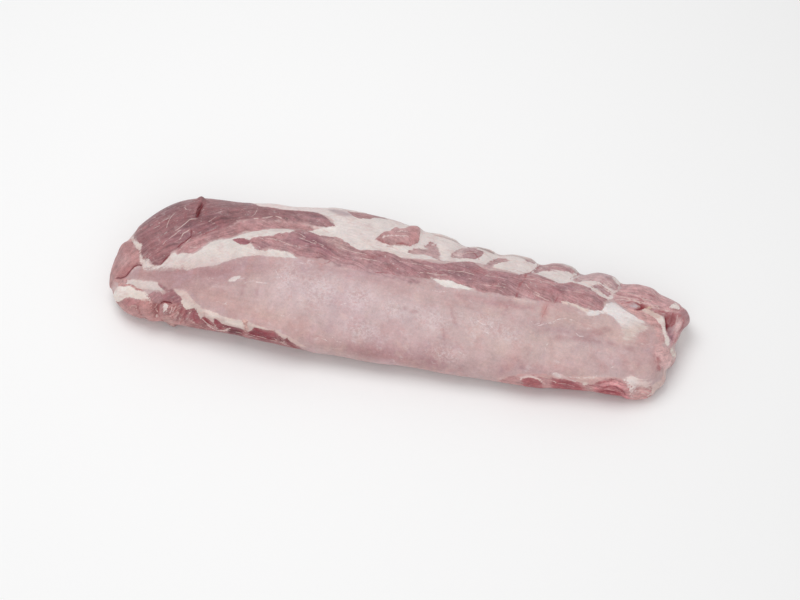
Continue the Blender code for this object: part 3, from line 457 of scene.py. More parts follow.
    "tailPaleE": ("fat", 0.8, (208, 182, 181), 0.3, 0.1, [198,48.9, 202.6,50.3, 206.9,52.1], 0.4),
    "cornerLean": ("lean", 1.6, (208, 161, 159), 0.5, 0.1, [241,-51, 246,-50, 255,-54, 256,-57, 253,-63,
        248,-85, 242,-89, 239,-60, 239,-54]),
    "cornerRimA": ("fat", 0.8, (222, 198, 193), 0.3, 0.2, [255.6,-54.7, 254.8,-58.7, 251.3,-62.3,
        246.2,-63.8, 242.5,-64.2], 0.6),
    "cornerRimB": ("fat", 0.8, (216, 190, 186), 0.3, 0.1, [247.8,-49.9, 252.2,-53.2,
        253.1,-55.8], 0.45),
    "cornerRimC": ("fat", 0.8, (214, 188, 184), 0.3, 0.1, [241.1,-54.8, 245.3,-57.3, 249.3,-57.5], 0.4),
    "pinkSeam": ("lean", 0.9, (204, 154, 150), 0.3, -0.3, [-266.6,-39.6, -265.5,-44.4, -259.2,-47.8,
        -253.1,-48.9, -248.9,-52.2, -243.2,-55.7, -236.8,-57.7], 0.6),
    "tongueShade": ("lean", 2.2, (168, 130, 132), 0.5, 0.1, [-223,-49, -214,-54, -210,-58, -214,-58]),
    "tongueDark": ("lean", 0.8, (170, 126, 130), 0.3, 0.1, [-224.2,-51.3, -220.4,-53.2,
        -216.7,-54.4], 0.6),
    "fanA": ("fat", 0.7, (232, 214, 207), 0.4, 0.2, [-242.8,-57.6, -237.1,-61.4, -231.2,-65.2,
        -226.5,-68.4], 0.7),
    "fanB": ("fat", 0.7, (232, 216, 210), 0.4, 0.2, [-240.8,-57.5, -235.4,-59.7, -230.6,-62.6,
        -227.4,-65.2], 0.6),
    "fanC": ("fat", 0.7, (230, 212, 204), 0.4, 0.2, [-244.4,-59.2, -238.8,-64, -233.1,-68], 0.6),
    "lobeRim": ("fat", 0.7, (206, 160, 156), 0.3, 0.9, [-240.1,-73.4, -239.7,-69.8, -237.5,-67.9,
        -233.2,-67.2, -229,-68.4, -226,-71.6, -225.3,-75.8], 0.4),
    "ringPale": ("fat", 0.7, (212, 172, 166), 0.3, 0.5, [-248.4,-76.4, -248.9,-72.5, -246.6,-70.6,
        -243.4,-71.7, -242.1,-74.9, -243.3,-77.6], 0.5),
    "lowSeam": ("lean", 0.8, (154, 84, 86), 0.3, 0.2, [-240.5,-71, -240.7,-75.6, -239.1,-81.6,
        -236,-86.8], 0.5),
    "clusterPale": ("fat", 0.7, (212, 178, 172), 0.3, 0.1, [-222,-70.2, -222.5,-74.1, -220.9,-80], 0.5),
    "crumb": ("fat", 0.8, (226, 204, 198), 0.6, 0.6, [-223,-82, -221,-83, -220,-85, -222,-87,
        -223,-85]),
    "crimsonGap": ("lean", 0.8, (128, 38, 46), 0.2, -0.4, [-217.3,-69.8, -214.8,-68.3, -211.2,-68.7,
        -207.6,-69], 0.9),
    "pleatArch": ("fat", 0.8, (206, 168, 164), 0.3, 0.2, [-202.3,-71.9, -198.9,-73.8, -198.9,-77.3,
        -200.9,-81.6, -203,-85.9], 0.5),
    "pleatColumn": ("fat", 0.8, (214, 186, 181), 0.3, 0.2, [-206.8,-71, -205.6,-73.4, -206.5,-77.2,
        -207.9,-79.5], 0.6),
    "webA": ("fat", 0.7, (202, 164, 161), 0.3, 0.2, [-187.4,-88.6, -184,-91.7, -179,-92.8, -174.3,-96.1,
        -170.3,-101.9], 0.8),
    "webB": ("fat", 0.7, (222, 196, 192), 0.3, 0.3, [-171.3,-89.4, -168,-92, -164.8,-96.2, -161.6,-98,
        -157.5,-97.5, -153.3,-95.4, -149.5,-92.4, -146.5,-90], 0.9),
    "webC": ("fat", 0.7, (196, 160, 157), 0.3, 0.2, [-135,-93.6, -131,-95.4, -126.2,-97.9, -121.2,-98.9,
        -116.3,-99.8], 0.7),
    "webD": ("fat", 0.7, (208, 182, 178), 0.3, 0.2, [-103.4,-89.9, -100.4,-94.7, -96.6,-96.1,
        -92.4,-99.1, -87.8,-101.8], 0.8),
    "webE": ("fat", 0.6, (208, 182, 178), 0.3, 0.2, [-94.5,-90.9, -93.3,-94.1, -92.7,-98.4], 0.6),
    "webF": ("fat", 0.7, (186, 148, 146), 0.3, 0.2, [-116,-104, -110.5,-103.9, -103.8,-103.1,
        -98,-104.1], 0.7),
    "webG": ("fat", 0.6, (206, 178, 174), 0.3, 0.2, [-155.8,-88.5, -152.4,-90.9, -150.2,-93.8], 0.5),
    "whiteFleck": ("fat", 1, (230, 222, 218), 0.2, 0.5, [-158,-40, -157,-37, -154,-34, -147,-33,
        -148,-36, -151,-38, -152,-40]),
}

# Thin threads of fat, gleams, dark folds, veins and creases: by kind and half width, the lines
# that they follow, x and way round in turn. The folds' dark crimson is partly their red and partly
# painted shade, and the creases are painted darker as shade.
threadsAndFolds = {
    "thread": {
        0.3: [[116,27, 120,24, 132,20]],
        0.35: [[-247,11, -242,14], [-235,11, -236,18, -236,23, -234,32], [-231,-9, -230,-6, -220,8],
            [-228,40, -224,35, -220,36], [-213,-11, -210,-7, -209,-2, -207,0], [-196,21, -192,29],
            [-204,-10, -198,-10, -193,-8], [-160,38, -158,42, -158,49], [-120,23, -107,22, -100,19],
            [-125,12, -111,8, -105,8], [-92,17, -80,13], [-50,8, -44,9, -23,10],
            [105,11, 111,13, 120,12, 129,13], [72,37, 85,40, 93,41], [123,20, 139,17, 145,18],
            [-18,48, -11,55], [187,57, 191,57, 196,55], [-166,-82, -161,-92],
            [-153,-87, -150,-93, -155,-98], [-100,-82, -95,-90], [-221,-56, -217,-60, -216,-64],
            [-202,-72, -207,-83], [213,-52, 223,-49, 226,-50], [198,-63, 205,-58, 221,-58],
            [166,-66, 175,-64, 183,-65], [239,-58, 244,-56, 250,-60], [204,55, 229,47, 236,48],
            [202,49, 222,45, 243,44], [226,62, 232,58, 240,59, 247,57], [202,44, 208,45, 226,44],
            [236,43, 244,42, 251,39, 260,26], [200,39, 206,35, 213,33, 220,33],
            [162,63, 172,61, 182,57], [140,57, 156,58], [124,63, 132,63, 139,61], [188,55, 198,51],
            [240,-54, 245,-53, 255,-59], [181,54, 194,50], [48,52, 53,58, 61,59],
            [122,56, 129,64, 139,62, 149,62], [81,55, 89,59, 99,57], [263,17, 263,11, 262,7],
            [-65,17, -38,14], [-140,10, -131,12, -120,10], [-105,17, -74,10], [-5,16, 18,20, 30,20],
            [34,19, 57,24, 67,24], [78,27, 97,28], [114,33, 134,35, 145,33], [150,29, 159,31, 169,33],
            [17,12, 43,16], [75,16, 86,17, 98,19]],
        0.55: [[-212,9, -216,5, -217,-1], [-225,7, -221,12, -218,18, -216,22, -210,24],
            [-156,36, -138,42, -128,40], [-28,39, -20,41, -7,47], [1,34, 9,35, 24,32, 32,30, 41,32],
            [166,58, 192,43], [-179,-79, -172,-87, -164,-93, -156,-96, -138,-96],
            [-133,-90, -126,-94, -116,-94, -106,-96, -95,-95]],
    },
    "gleam": {
        0.45: [[-164,-62, -153,-63], [-132,-37, -122,-36], [-117,-21, -109,-31],
            [151,-28, 150,-33, 152,-36], [175,-10, 179,-12, 182,-11], [151,-5, 144,-8, 139,-12],
            [-61,-79, -54,-79, -49,-82], [-47,-75, -43,-78, -39,-78], [240,-6, 237,-4],
            [-97,-8, -91,-8], [-100,-65, -94,-66, -92,-64], [83,-23, 88,-26, 92,-24, 98,-26],
            [91,-32, 96,-33], [107,-22, 111,-26, 110,-32], [130,-9, 135,-12, 139,-9], [72,-57, 77,-58],
            [214,-34, 216,-32], [-46,-43, -42,-40], [33,-2, 40,-2, 46,1], [149,-6, 155,0, 163,4, 170,3],
            [235,-4, 240,-6]],
        0.6: [[162,-55, 166,-53, 169,-55, 171,-58], [178,-54, 199,-48, 202,-45], [230,-44, 236,-57],
            [233,-43, 236,-48, 238,-56], [235,-42, 238,-47, 240,-54], [231,-45, 234,-49, 238,-65]],
        0.8: [[-28,39, -7,46], [-18,49, -14,52, -10,53]],
    },
    "fold": {
        0.3: [[-214,52, -215,41, -214,35, -210,28]],
        0.5: [[-210,9, -208,3, -211,-3, -214,-6, -216,-10], [-222,-19, -226,-26, -227,-30],
            [-218,-70, -216,-68, -213,-68, -207,-69]],
        0.7: [[-270,-32, -264,-37, -259,-38, -253,-30, -250,-29, -247,-31]],
    },
    "vein": {
        0.25: [[142,12, 140,0, 140,-10], [212,58, 223,54, 236,53, 246,49],
            [185,52, 197,51, 225,47, 239,50], [233,54, 245,57, 257,45, 268,14]],
        0.5: [[-206,0, -199,3, -187,13], [-76,-5, -70,0], [-24,0, -14,2, -2,3],
            [114,42, 115,33, 111,24], [112,22, 112,15], [242,41, 250,38, 257,29, 264,16],
            [207,-60, 214,-56, 222,-55, 228,-58], [163,-66, 172,-63, 181,-63, 189,-65],
            [-192,-75, -195,-85, -197,-92], [-200,-70, -205,-84], [-181,-72, -184,-80, -182,-89],
            [-173,-74, -172,-84, -166,-92], [-219,-70, -220,-77, -217,-95],
            [209,41, 218,44, 238,42, 250,39], [50,74, 55,61, 67,50], [120,72, 122,61, 114,39],
            [161,76, 161,67, 156,54]],
        0.6: [[267,9, 270,4, 270,1, 269,-1], [150,23, 147,16], [198,-58, 217,-54, 226,-56],
            [204,-63, 213,-61, 223,-63]],
        0.7: [[113,32, 112,25], [111,21, 111,15], [226,44, 243,39, 250,33, 258,25, 266,11],
            [249,34, 254,30, 266,12], [-22,35, -16,36, -6,41]],
        0.8: [[226,44, 229,43, 229,42, 223,36]],
        0.9: [[114,42, 114,32, 111,26]],
        1.2: [[251,-19, 256,-30, 256,-33, 257,-36]],
    },
    "crease": {
        0.8: [[144,-16, 159,-12]],
        0.9: [[172,-16, 198,-10]],
        1.3: [[53,-41, 57,-53]],
        1.4: [[55,-17, 61,-30, 65,-34]],
        1.6: [[142,-17, 150,-13, 166,-11], [186,-10, 193,-6, 207,5], [13,-29, 18,-31, 25,-29]],
        1.8: [[-129,-41, -127,-51], [-36,-70, -31,-76, -28,-84]],
        2: [[176,-8, 187,-5, 193,-2, 203,6], [138,-38, 136,-46, 132,-56]],
        2.2: [[107,11, 104,-8]],
        2.3: [[153,-22, 164,-18, 185,-13, 195,-11, 228,-12], [-143,-31, -142,-40, -142,-50]],
    },
}

# Soft stains of the silverskin, and painted shade on its lower front and down the rim at the sirloin
# end: middle (x, way round), half length, half width and turn in degrees, then colour and strength.
stainsAndShade = [
    ((-185, -50, 45, 16, -20), (184, 148, 149), 0.75), ((-150, -8, 42, 10, 18), (184, 146, 147), 0.75),
    ((-100, -14, 40, 12, 4), (190, 155, 156), 0.6), ((-165, -30, 14, 20), (188, 156, 158), 0.6),
    ((-137, -30, 8, 26, 8), (184, 156, 152), 0.5), ((-118, -34, 6, 24, 6), (187, 160, 157), 0.4),
    ((-160, -58, 34, 8, -8), (201, 164, 159), 0.7), ((-115, -68, 40, 8, -6), (205, 171, 166), 0.7),
    ((-60, -82, 36, 8, -10), (198, 161, 157), 0.5), ((-92, -36, 30, 18), (203, 178, 180), 0.6),
    ((-45, -30, 32, 18), (202, 178, 182), 0.6), ((-32, -52, 26, 16), (203, 177, 181), 0.55),
    ((15, -36, 36, 20), (202, 177, 180), 0.5), ((-48, -6, 5, 22), (190, 158, 160), 0.45),
    ((-5, -10, 34, 8), (195, 162, 162), 0.5), ((70, -6, 34, 9), (193, 160, 161), 0.55),
    ((-10, -82, 22, 9), (182, 142, 142), 0.7), ((30, -86, 26, 7), (190, 152, 148), 0.6),
    ((62, -60, 34, 14), (204, 178, 174), 0.5), ((118, -60, 7, 22, -24), (194, 150, 150), 0.6),
    ((140.5, 5, 3, 12), (186, 122, 120), 0.7), ((158, -10, 40, 5, 3), (184, 154, 158), 0.6),
    ((190, -14, 34, 4, -3), (180, 150, 154), 0.6), ((170, 4, 26, 9, -8), (199, 166, 160), 0.6),
    ((160, -42, 50, 14), (207, 180, 176), 0.55), ((215, -30, 24, 18), (200, 170, 172), 0.6),
    ((212, 0, 18, 9, -16), (207, 177, 169), 0.7), ((234, 8, 16, 12, -30), (196, 156, 154), 0.7),
    ((240, -22, 14, 20), (196, 158, 158), 0.6), ((-215, -42, 26, 8), (175, 141, 144), 0.6),
    ((252, -20, 4, 17, 10), (178, 124, 124), 0.6),
]

# Broad tones over all tissues, much of them painted light and shade: darker where the loin turns away
# along its back edge and lower front, lighter on its top; the rest are shifts of colour. The same oval,
# and what it multiplies red, green and blue by.
tonesAndShading = [
    ((150, -28, 95, 42), (1.05, 1.06, 1.05)), ((-175, -38, 48, 28), (0.97, 0.94, 0.94)),
    ((-120, -92, 90, 14), (0.95, 0.91, 0.91)), ((-199, 24, 14, 7, 20), (0.9, 0.86, 0.87)),
    ((-212, 28, 26, 14), (0.88, 0.82, 0.84)), ((-250, 40, 18, 16, 30), (0.84, 0.8, 0.82)),
    ((-200, 94, 90, 15), (0.85, 0.83, 0.84)), ((-60, 99, 60, 13), (0.86, 0.86, 0.87)),
    ((120, 91, 130, 13), (0.84, 0.84, 0.86)), ((-177, -33, 27, 9), (0.84, 0.73, 0.75)),
    ((-215, -30, 20, 9), (0.93, 0.88, 0.89)), ((-138, -20, 30, 9), (0.93, 0.87, 0.88)),
    ((-102, 46, 20, 8), (1.2, 1.3, 1.28)), ((-135, 38, 26, 5), (1.1, 1.14, 1.12)),
    ((-84, 1, 14, 6), (0.88, 0.84, 0.85)), ((10, -78, 30, 12), (0.92, 0.86, 0.88)),
    ((50, -74, 12, 9), (0.87, 0.78, 0.8)), ((40, -66, 80, 16), (1, 0.95, 0.97)),
    ((-31, 38, 8, 6), (0.92, 0.88, 0.88)), ((-9, 35, 22, 5), (1.1, 1.12, 1.1)),
    ((102, 5, 15, 6), (0.9, 0.85, 0.86)), ((152, 18, 18, 6), (0.96, 0.91, 0.92)),
    ((146, -14, 28, 7, 3), (0.92, 0.9, 0.91)), ((150, -54, 34, 7), (0.93, 0.87, 0.89)),
    ((120, -45, 14, 10), (1.06, 1.06, 1.06)), ((201, -20, 15, 10), (1.05, 1.06, 1.06)),
    ((214, -50, 13, 7), (1.1, 1.16, 1.14)), ((234, -6, 14, 9), (0.94, 0.92, 0.92)),
    ((-258, -31, 9, 6), (0.96, 0.87, 0.87)), ((-272, -9, 9, 11), (0.85, 0.82, 0.84)),
    ((-262, -50, 10, 9), (1.04, 1.07, 1.1)), ((-193, -74, 12, 8), (1.1, 1.1, 1.08)),
    ((-160, -28, 24, 9, 14), (0.92, 0.85, 0.86)), ((-206, -54, 7, 5), (0.9, 0.86, 0.87)),
    ((-185, 7, 12, 7, 20), (0.87, 0.85, 0.86)), ((45, -78, 34, 8), (0.89, 0.85, 0.86)),
    ((-20, -86, 28, 6), (0.9, 0.86, 0.87)), ((23, 6, 12, 5), (0.92, 0.89, 0.89)),
    ((105, -27, 12, 6), (0.91, 0.86, 0.87)), ((-58, -41, 30, 9), (0.96, 0.93, 0.94)),
    ((-246, 46, 20, 9, 30), (0.87, 0.89, 0.91)), ((-92, 44, 20, 8, -25), (1.1, 1.14, 1.13)),
    ((-220, -20, 14, 10, 30), (1.06, 1.07, 1.07)), ((-160, 26, 8, 5), (1.1, 1.12, 1.12)),
    ((-137, 45, 9, 5), (1.1, 1.14, 1.13)), ((-7, 23, 22, 5), (1.08, 1.1, 1.08)),
    ((-55, -70, 26, 10, -4), (1.05, 1.06, 1.06)), ((132, 20, 10, 6), (1.07, 1.09, 1.08)),
    ((180, 28, 10, 5), (1.06, 1.08, 1.08)), ((36, -72, 70, 12, 4), (1, 0.955, 0.965)),
    ((180, -40, 26, 10), (1, 0.95, 0.96)), ((-259, -33, 8, 5), (1, 0.93, 0.95)),
    ((145, 14, 9, 5), (1, 0.92, 0.94)), ((190, 39, 7, 5), (1, 0.93, 0.95)),
    ((-180, -36, 16, 6, 8), (0.93, 0.91, 0.91)), ((-210, -51, 9, 4), (0.93, 0.91, 0.92)),
    ((-218, -29, 12, 5), (1.05, 1.06, 1.06)), ((-103, 48, 14, 6, -10), (1.06, 1.07, 1.07)),
    ((-137, 39, 12, 7), (1.05, 1.07, 1.07)), ((52, -66, 11, 11), (0.93, 0.89, 0.9)),
    ((30, -77, 7, 8), (1.05, 1.06, 1.06)), ((139, -58, 12, 6), (0.96, 0.91, 0.92)),
    ((173, -49, 18, 7), (0.96, 0.91, 0.92)), ((84, -29, 22, 10), (0.97, 0.96, 0.96)),
    ((138, -23, 26, 8), (0.97, 0.96, 0.96)), ((20, 0, 12, 6), (0.96, 0.95, 0.95)),
    ((-39, -39, 14, 14), (0.98, 0.97, 0.97)), ((209, -5, 11, 12), (0.97, 0.95, 0.96)),
    ((226, -45, 22, 7), (1.03, 1.05, 1.05)), ((-60, -71, 44, 9, -4), (1.04, 1.04, 1.03)),
    ((-10, -82, 60, 7), (1, 0.965, 0.97)), ((-99, 11, 17, 7), (0.955, 0.945, 0.96)),
    ((44, 19, 24, 6), (0.965, 0.96, 0.965)), ((-111, -81, 26, 5), (0.98, 0.95, 0.95)),
]

# White webbing on the silverskin.
webbedPlaces = [
    (-70, -33, 20, 17), (-32, -32, 15, 14), (-22, -62, 18, 10), (2, -34, 12, 9), (-104, -26, 11, 18),
    (90, -24, 20, 9), (42, -34, 16, 10), (112, -30, 14, 8), (60, -62, 15, 8),
]

paint = {
    "skin": (199, 172, 171), "lean": (176, 136, 137), "fat": (224, 210, 207),
    "warpSize": 9, "warp": 1.0, "fineWarpSize": 3.4, "fineWarp": 0.8,
    "skinGrain": 0.25,
    "smoothWarp": 0.35,  # the share of the warp that reaches the edge of an area with no grain
    "edgeReach": 1.3,  # how much wider the soft edges are than the table says
    "colourReach": 3.5,  # how far an area's colour runs on under its neighbours
    "lineReach": 6, "lineWarp": 0.5, "farAway": 9.0,
    "ribbonEnd": 0.45,  # how wide a ribbon is at its ends, where one half width is given
    "seedStep": (17.3, 5.1, 9.7),  # how far one seed's noise lies from the next one's
    "leastShare": 0.001,
}


def pairs(numbers):  # x and way round in turn, as points
    return list(zip(numbers[::2], numbers[1::2]))


def ribbon(line, halfWidths):  # a long thin outline along a line
    if not isinstance(halfWidths, list):
        inner = [halfWidths] * (len(line) - 2)
        halfWidths = [halfWidths * paint["ribbonEnd"], *inner, halfWidths * paint["ribbonEnd"]]
    oneSide, otherSide = [], []
    for i, (x, g) in enumerate(line):
        before, after = line[max(i - 1, 0)], line[min(i + 1, len(line) - 1)]
        dx, dg = after[0] - before[0], after[1] - before[1]
        share = halfWidths[i] / math.hypot(dx, dg)
        oneSide.append((x - dg * share, g + dx * share))
        otherSide.append((x + dg * share, g - dx * share))
    return oneSide + otherSide[::-1]


def ease(t):
    t = np.clip(t, 0, 1)
    return t * t * (3 - 2 * t)


def besideLine(line, x, g):  # distance to the line, and the same with a sign for the side
    nearest = np.full(x.shape, np.inf)
    side = np.ones(x.shape)
    for (ax, ag), (bx, bg) in zip(line, line[1:]):
        dx, dg = bx - ax, bg - ag
        t = np.clip(((x - ax) * dx + (g - ag) * dg) / (dx * dx + dg * dg), 0, 1)
        away = np.hypot(x - ax - t * dx, g - ag - t * dg)
        closer = away < nearest
        side = np.where(closer, np.sign((x - ax) * dg - (g - ag) * dx), side)
        nearest = np.where(closer, away, nearest)
    return nearest, nearest * side


def insideOutline(outline, x, g):  # distance from the outline, positive inside it
    loop = outline + outline[:1]
    within = np.zeros(x.shape, bool)
    for (ax, ag), (bx, bg) in zip(loop, loop[1:]):
        if ag != bg:
            spans = (ag > g) != (bg > g)
            within ^= spans & (x < ax + (g - ag) * (bx - ax) / (bg - ag))
    return np.where(within, 1, -1) * besideLine(loop, x, g)[0]


def nearBox(points, margin, x, g):  # the vertices that a shape can touch
    low, high = np.min(points, axis=0) - margin, np.max(points, axis=0) + margin
    return np.flatnonzero((x > low[0]) & (x < high[0]) & (g > low[1]) & (g < high[1]))


def softNoise(points, size, seed=0):  # three smooth values from -1 to 1 for each point
    rows = points / size + seed * np.array(paint["seedStep"])
    return np.array([noise.noise_vector(Vector(row)) for row in rows])


def softSpot(oval, x, g):  # 1 in the middle of an oval, fading outwards
    middleX, middleG, halfLength, halfWidth, *turn = oval
    turn = math.radians(turn[0]) if turn else 0.0
    c, s = math.cos(turn), math.sin(turn)
    dx, dg = x - middleX, g - middleG
    along, across = (dx * c + dg * s) / halfLength, (dg * c - dx * s) / halfWidth
    return np.exp(-(along ** 2 + across ** 2))[:, None]


def paintAreas(x, g, xWarped, gWarped, warp):  # each tissue's share and colour, grain and rise
    count = len(x)
    share = {tissue: np.full(count, float(tissue == "skin")) for tissue in ("skin", "lean", "fat")}
    colour = {tissue: np.tile(linear(paint[tissue]), (count, 1)) for tissue in share}
    grain, rise = np.full(count, paint["skinGrain"]), np.zeros(count)
    for tissue, soft, ownColour, ownGrain, ownRise, numbers, *halfWidths in areas.values():
        outline = ribbon(pairs(numbers), *halfWidths) if halfWidths else pairs(numbers)
        soft = soft * paint["edgeReach"]
        near = nearBox(outline, soft + paint["colourReach"], xWarped, gWarped)
        ragged = paint["smoothWarp"] + (1 - paint["smoothWarp"]) * ownGrain
        bent = warp[near, :2] * ragged  # coarse meat has the most ragged edge
        depth = insideOutline(outline, x[near] + bent[:, 0], g[near] + bent[:, 1])
        cover = ease(0.5 + depth / (2 * soft))
        wide = ease(0.5 + (depth + paint["colourReach"] / 2) / (2 * soft))
        wide += (cover - wide) * share[tissue][near]  # the colour runs on only under other tissue
        colour[tissue][near] += (linear(ownColour) - colour[tissue][near]) * wide[:, None]
        for other in share:
            share[other][near] *= 1 - cover
        share[tissue][near] += cover
        grain[near] += (ownGrain - grain[near]) * cover
        rise[near] += (ownRise - rise[near]) * cover
    return share, colour, grain, rise


def paintLines(x, g, warp):  # for each kind, how far the nearest line is, in its half widths
    lines = {}
    for kind, widths in threadsAndFolds.items():
        nearest, side = np.full(len(x), paint["farAway"]), np.full(len(x), paint["farAway"])
        for halfWidth, group in widths.items():
            for line in map(pairs, group):
                near = nearBox(line, paint["lineReach"], x, g)
                bent = warp[near, :2] * paint["lineWarp"]
                away, signed = besideLine(line, x[near] + bent[:, 0], g[near] + bent[:, 1])
                closer = away / halfWidth < nearest[near]
                nearest[near[closer]] = (away / halfWidth)[closer]
                side[near[closer]] = (signed / halfWidth)[closer]
        lines[kind] = nearest, side
    return lines


def paintSkin(points):
    warp = softNoise(points, paint["warpSize"]) * paint["warp"]
    warp += softNoise(points, paint["fineWarpSize"], 1) * paint["fineWarp"]
    x, g = placesOnSkin(points)
    xWarped, gWarped = x + warp[:, 0], g + warp[:, 1]
    share, colour, grain, rise = paintAreas(x, g, xWarped, gWarped, warp)
    # stains of the skin, and painted shade on its lower front and at the sirloin end's rim
    for oval, ownColour, strength in stainsAndShade:
        cover = strength * softSpot(oval, xWarped, gWarped)
        colour["skin"] += (linear(ownColour) - colour["skin"]) * cover
    # painted light and shade over every tissue, with some shifts of colour
    toneAndShading = np.ones((len(points), 3))
    for oval, factors in tonesAndShading:
        toneAndShading *= 1 + (np.array(factors) - 1) * softSpot(oval, xWarped, gWarped)
    for tissue in colour:
        colour[tissue] *= toneAndShading
    webbing = np.zeros(len(points))
    for oval in webbedPlaces:
        webbing = np.maximum(webbing, softSpot(oval, xWarped, gWarped)[:, 0])
    overLean = share["lean"] / np.maximum(share["lean"] + share["skin"], paint["leastShare"])
    fields = {"overLean": overLean, "overFat": share["fat"], "grain": grain, "webbing": webbing}
    return {"x": x, "g": g, "rise": rise, "colour": colour, "fields": fields,
            "lines": paintLines(x, g, warp)}


# the piece

meat = {
    "voxel": 1.6, "mergeWithin": 0.01, "smoothing": 0.5, "smoothingPasses": 9,
    "riseScale": 1.3, "foldDepth": 0.9, "foldReach": 1.6, "threadHeight": 0.22,
    "creaseDepth": 0.22,
    "lumps": [(5.5, 2, 0.22), (2.4, 3, 0.1)],  # size, seed, height
    "lumpsOffFat": 0.3,  # how much of the lumps' height is left where there is no fat
}


def evaluated(piece):  # the piece's mesh with its modifiers applied
    graph = bpy.context.evaluated_depsgraph_get()
    return bpy.data.meshes.new_from_object(piece.evaluated_get(graph))


def inScene(thing, name):  # a new object that holds a mesh, light or camera
    holder = bpy.data.objects.new(name, thing)
    bpy.context.scene.collection.objects.link(holder)
    return holder


def refinedMesh():
    bm = bmesh.new()
    bm.from_mesh(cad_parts["loin"].data)
    bmesh.ops.remove_doubles(bm, verts=bm.verts, dist=meat["mergeWithin"] * mm)
    mesh = bpy.data.meshes.new("loinMeat")
    bm.to_mesh(mesh)
    bm.free()
    piece = inScene(mesh, "loinMeat")
    even = piece.modifiers.new("even", "REMESH")
    even.mode = "VOXEL"
    even.voxel_size = meat["voxel"] * mm
    soft = piece.modifiers.new("soft", "SMOOTH")
    soft.factor = meat["smoothing"]
    soft.iterations = meat["smoothingPasses"]
    fine = evaluated(piece)
    piece.modifiers.clear()
    piece.data = fine
    fine.name = "loinMeat"
    return piece


def readVectors(items, field, width=3):
    values = np.empty(len(items) * width, np.float32)
    items.foreach_get(field, values)
    return values.reshape(-1, width).astype(float)


def addField(mesh, name, values, kind="FLOAT"):
    field = mesh.attributes.new(name, kind, "POINT")
    if kind == "FLOAT_COLOR":
        values = np.concatenate([values, np.ones((len(values), 1))], axis=1)
    slot = {"FLOAT": "value", "FLOAT_VECTOR": "vector", "FLOAT_COLOR": "color"}[kind]
    field.data.foreach_set(slot, np.ascontiguousarray(values, np.float32).ravel())


def dip(away, reach):  # 1 on a line, fading beside it
    return np.exp(-(away / reach) ** 2)


def makeMeat():
    piece = refinedMesh()
    mesh = piece.data
    points = readVectors(mesh.vertices, "co") / mm
    normals = readVectors(mesh.vertices, "normal")
    look = paintSkin(points)
    away = {kind: nearest for kind, (nearest, side) in look["lines"].items()}
    height = look["rise"] * meat["riseScale"]
    height -= meat["foldDepth"] * dip(away["fold"], meat["foldReach"])
    height -= meat["creaseDepth"] * dip(away["crease"], meat["foldReach"])
    height += meat["threadHeight"] * dip(away["thread"], 1)
    for size, seed, lumpHeight in meat["lumps"]:
        lumps = softNoise(points, size, seed)[:, 0] * lumpHeight
        height += lumps * (meat["lumpsOffFat"] + look["fields"]["overFat"])
    moved = points + normals * height[:, None]
    moved[:, 2] = np.maximum(moved[:, 2], 0)  # the underside stays flat on the table
    mesh.vertices.foreach_set("co", (moved * mm).astype(np.float32).ravel())
    mesh.update()
    mesh.shade_smooth()
    addField(mesh, "place", np.stack([look["x"], look["g"], 0 * look["x"]], axis=1), "FLOAT_VECTOR")
    for name, values in look["fields"].items():
        addField(mesh, name, values)
    for tissue, values in look["colour"].items():
        addField(mesh, tissue + "Colour", values, "FLOAT_COLOR")
    for kind, (nearest, side) in look["lines"].items():
        addField(mesh, kind + "Near", nearest)
        addField(mesh, kind + "Side", side)
    print("meat:", len(mesh.vertices), "vertices,", 2 * len(mesh.polygons), "triangles")
    return piece


# materials

class Socket:
    def __init__(self, shade, socket):
        self.shade, self.socket = shade, socket

    def maths(self, operation, *values):
        return self.shade.add("ShaderNodeMath", {"operation": operation}, dict(enumerate(values)))

    def __add__(self, other): return self.maths("ADD", self, other)
    def __radd__(self, other): return self.maths("ADD", other, self)
    def __sub__(self, other): return self.maths("SUBTRACT", self, other)
    def __rsub__(self, other): return self.maths("SUBTRACT", other, self)
    def __mul__(self, other): return self.maths("MULTIPLY", self, other)
    def __rmul__(self, other): return self.maths("MULTIPLY", other, self)
    def __abs__(self): return self.maths("ABSOLUTE", self)

    def atLeast(self, other): return self.maths("MAXIMUM", self, other)

    def between(self, low, high):  # 0 below low, 1 above high, smooth in between
        settings = {"interpolation_type": "SMOOTHSTEP", "clamp": True}
        return self.shade.add("ShaderNodeMapRange", settings, {0: self, 1: low, 2: high})


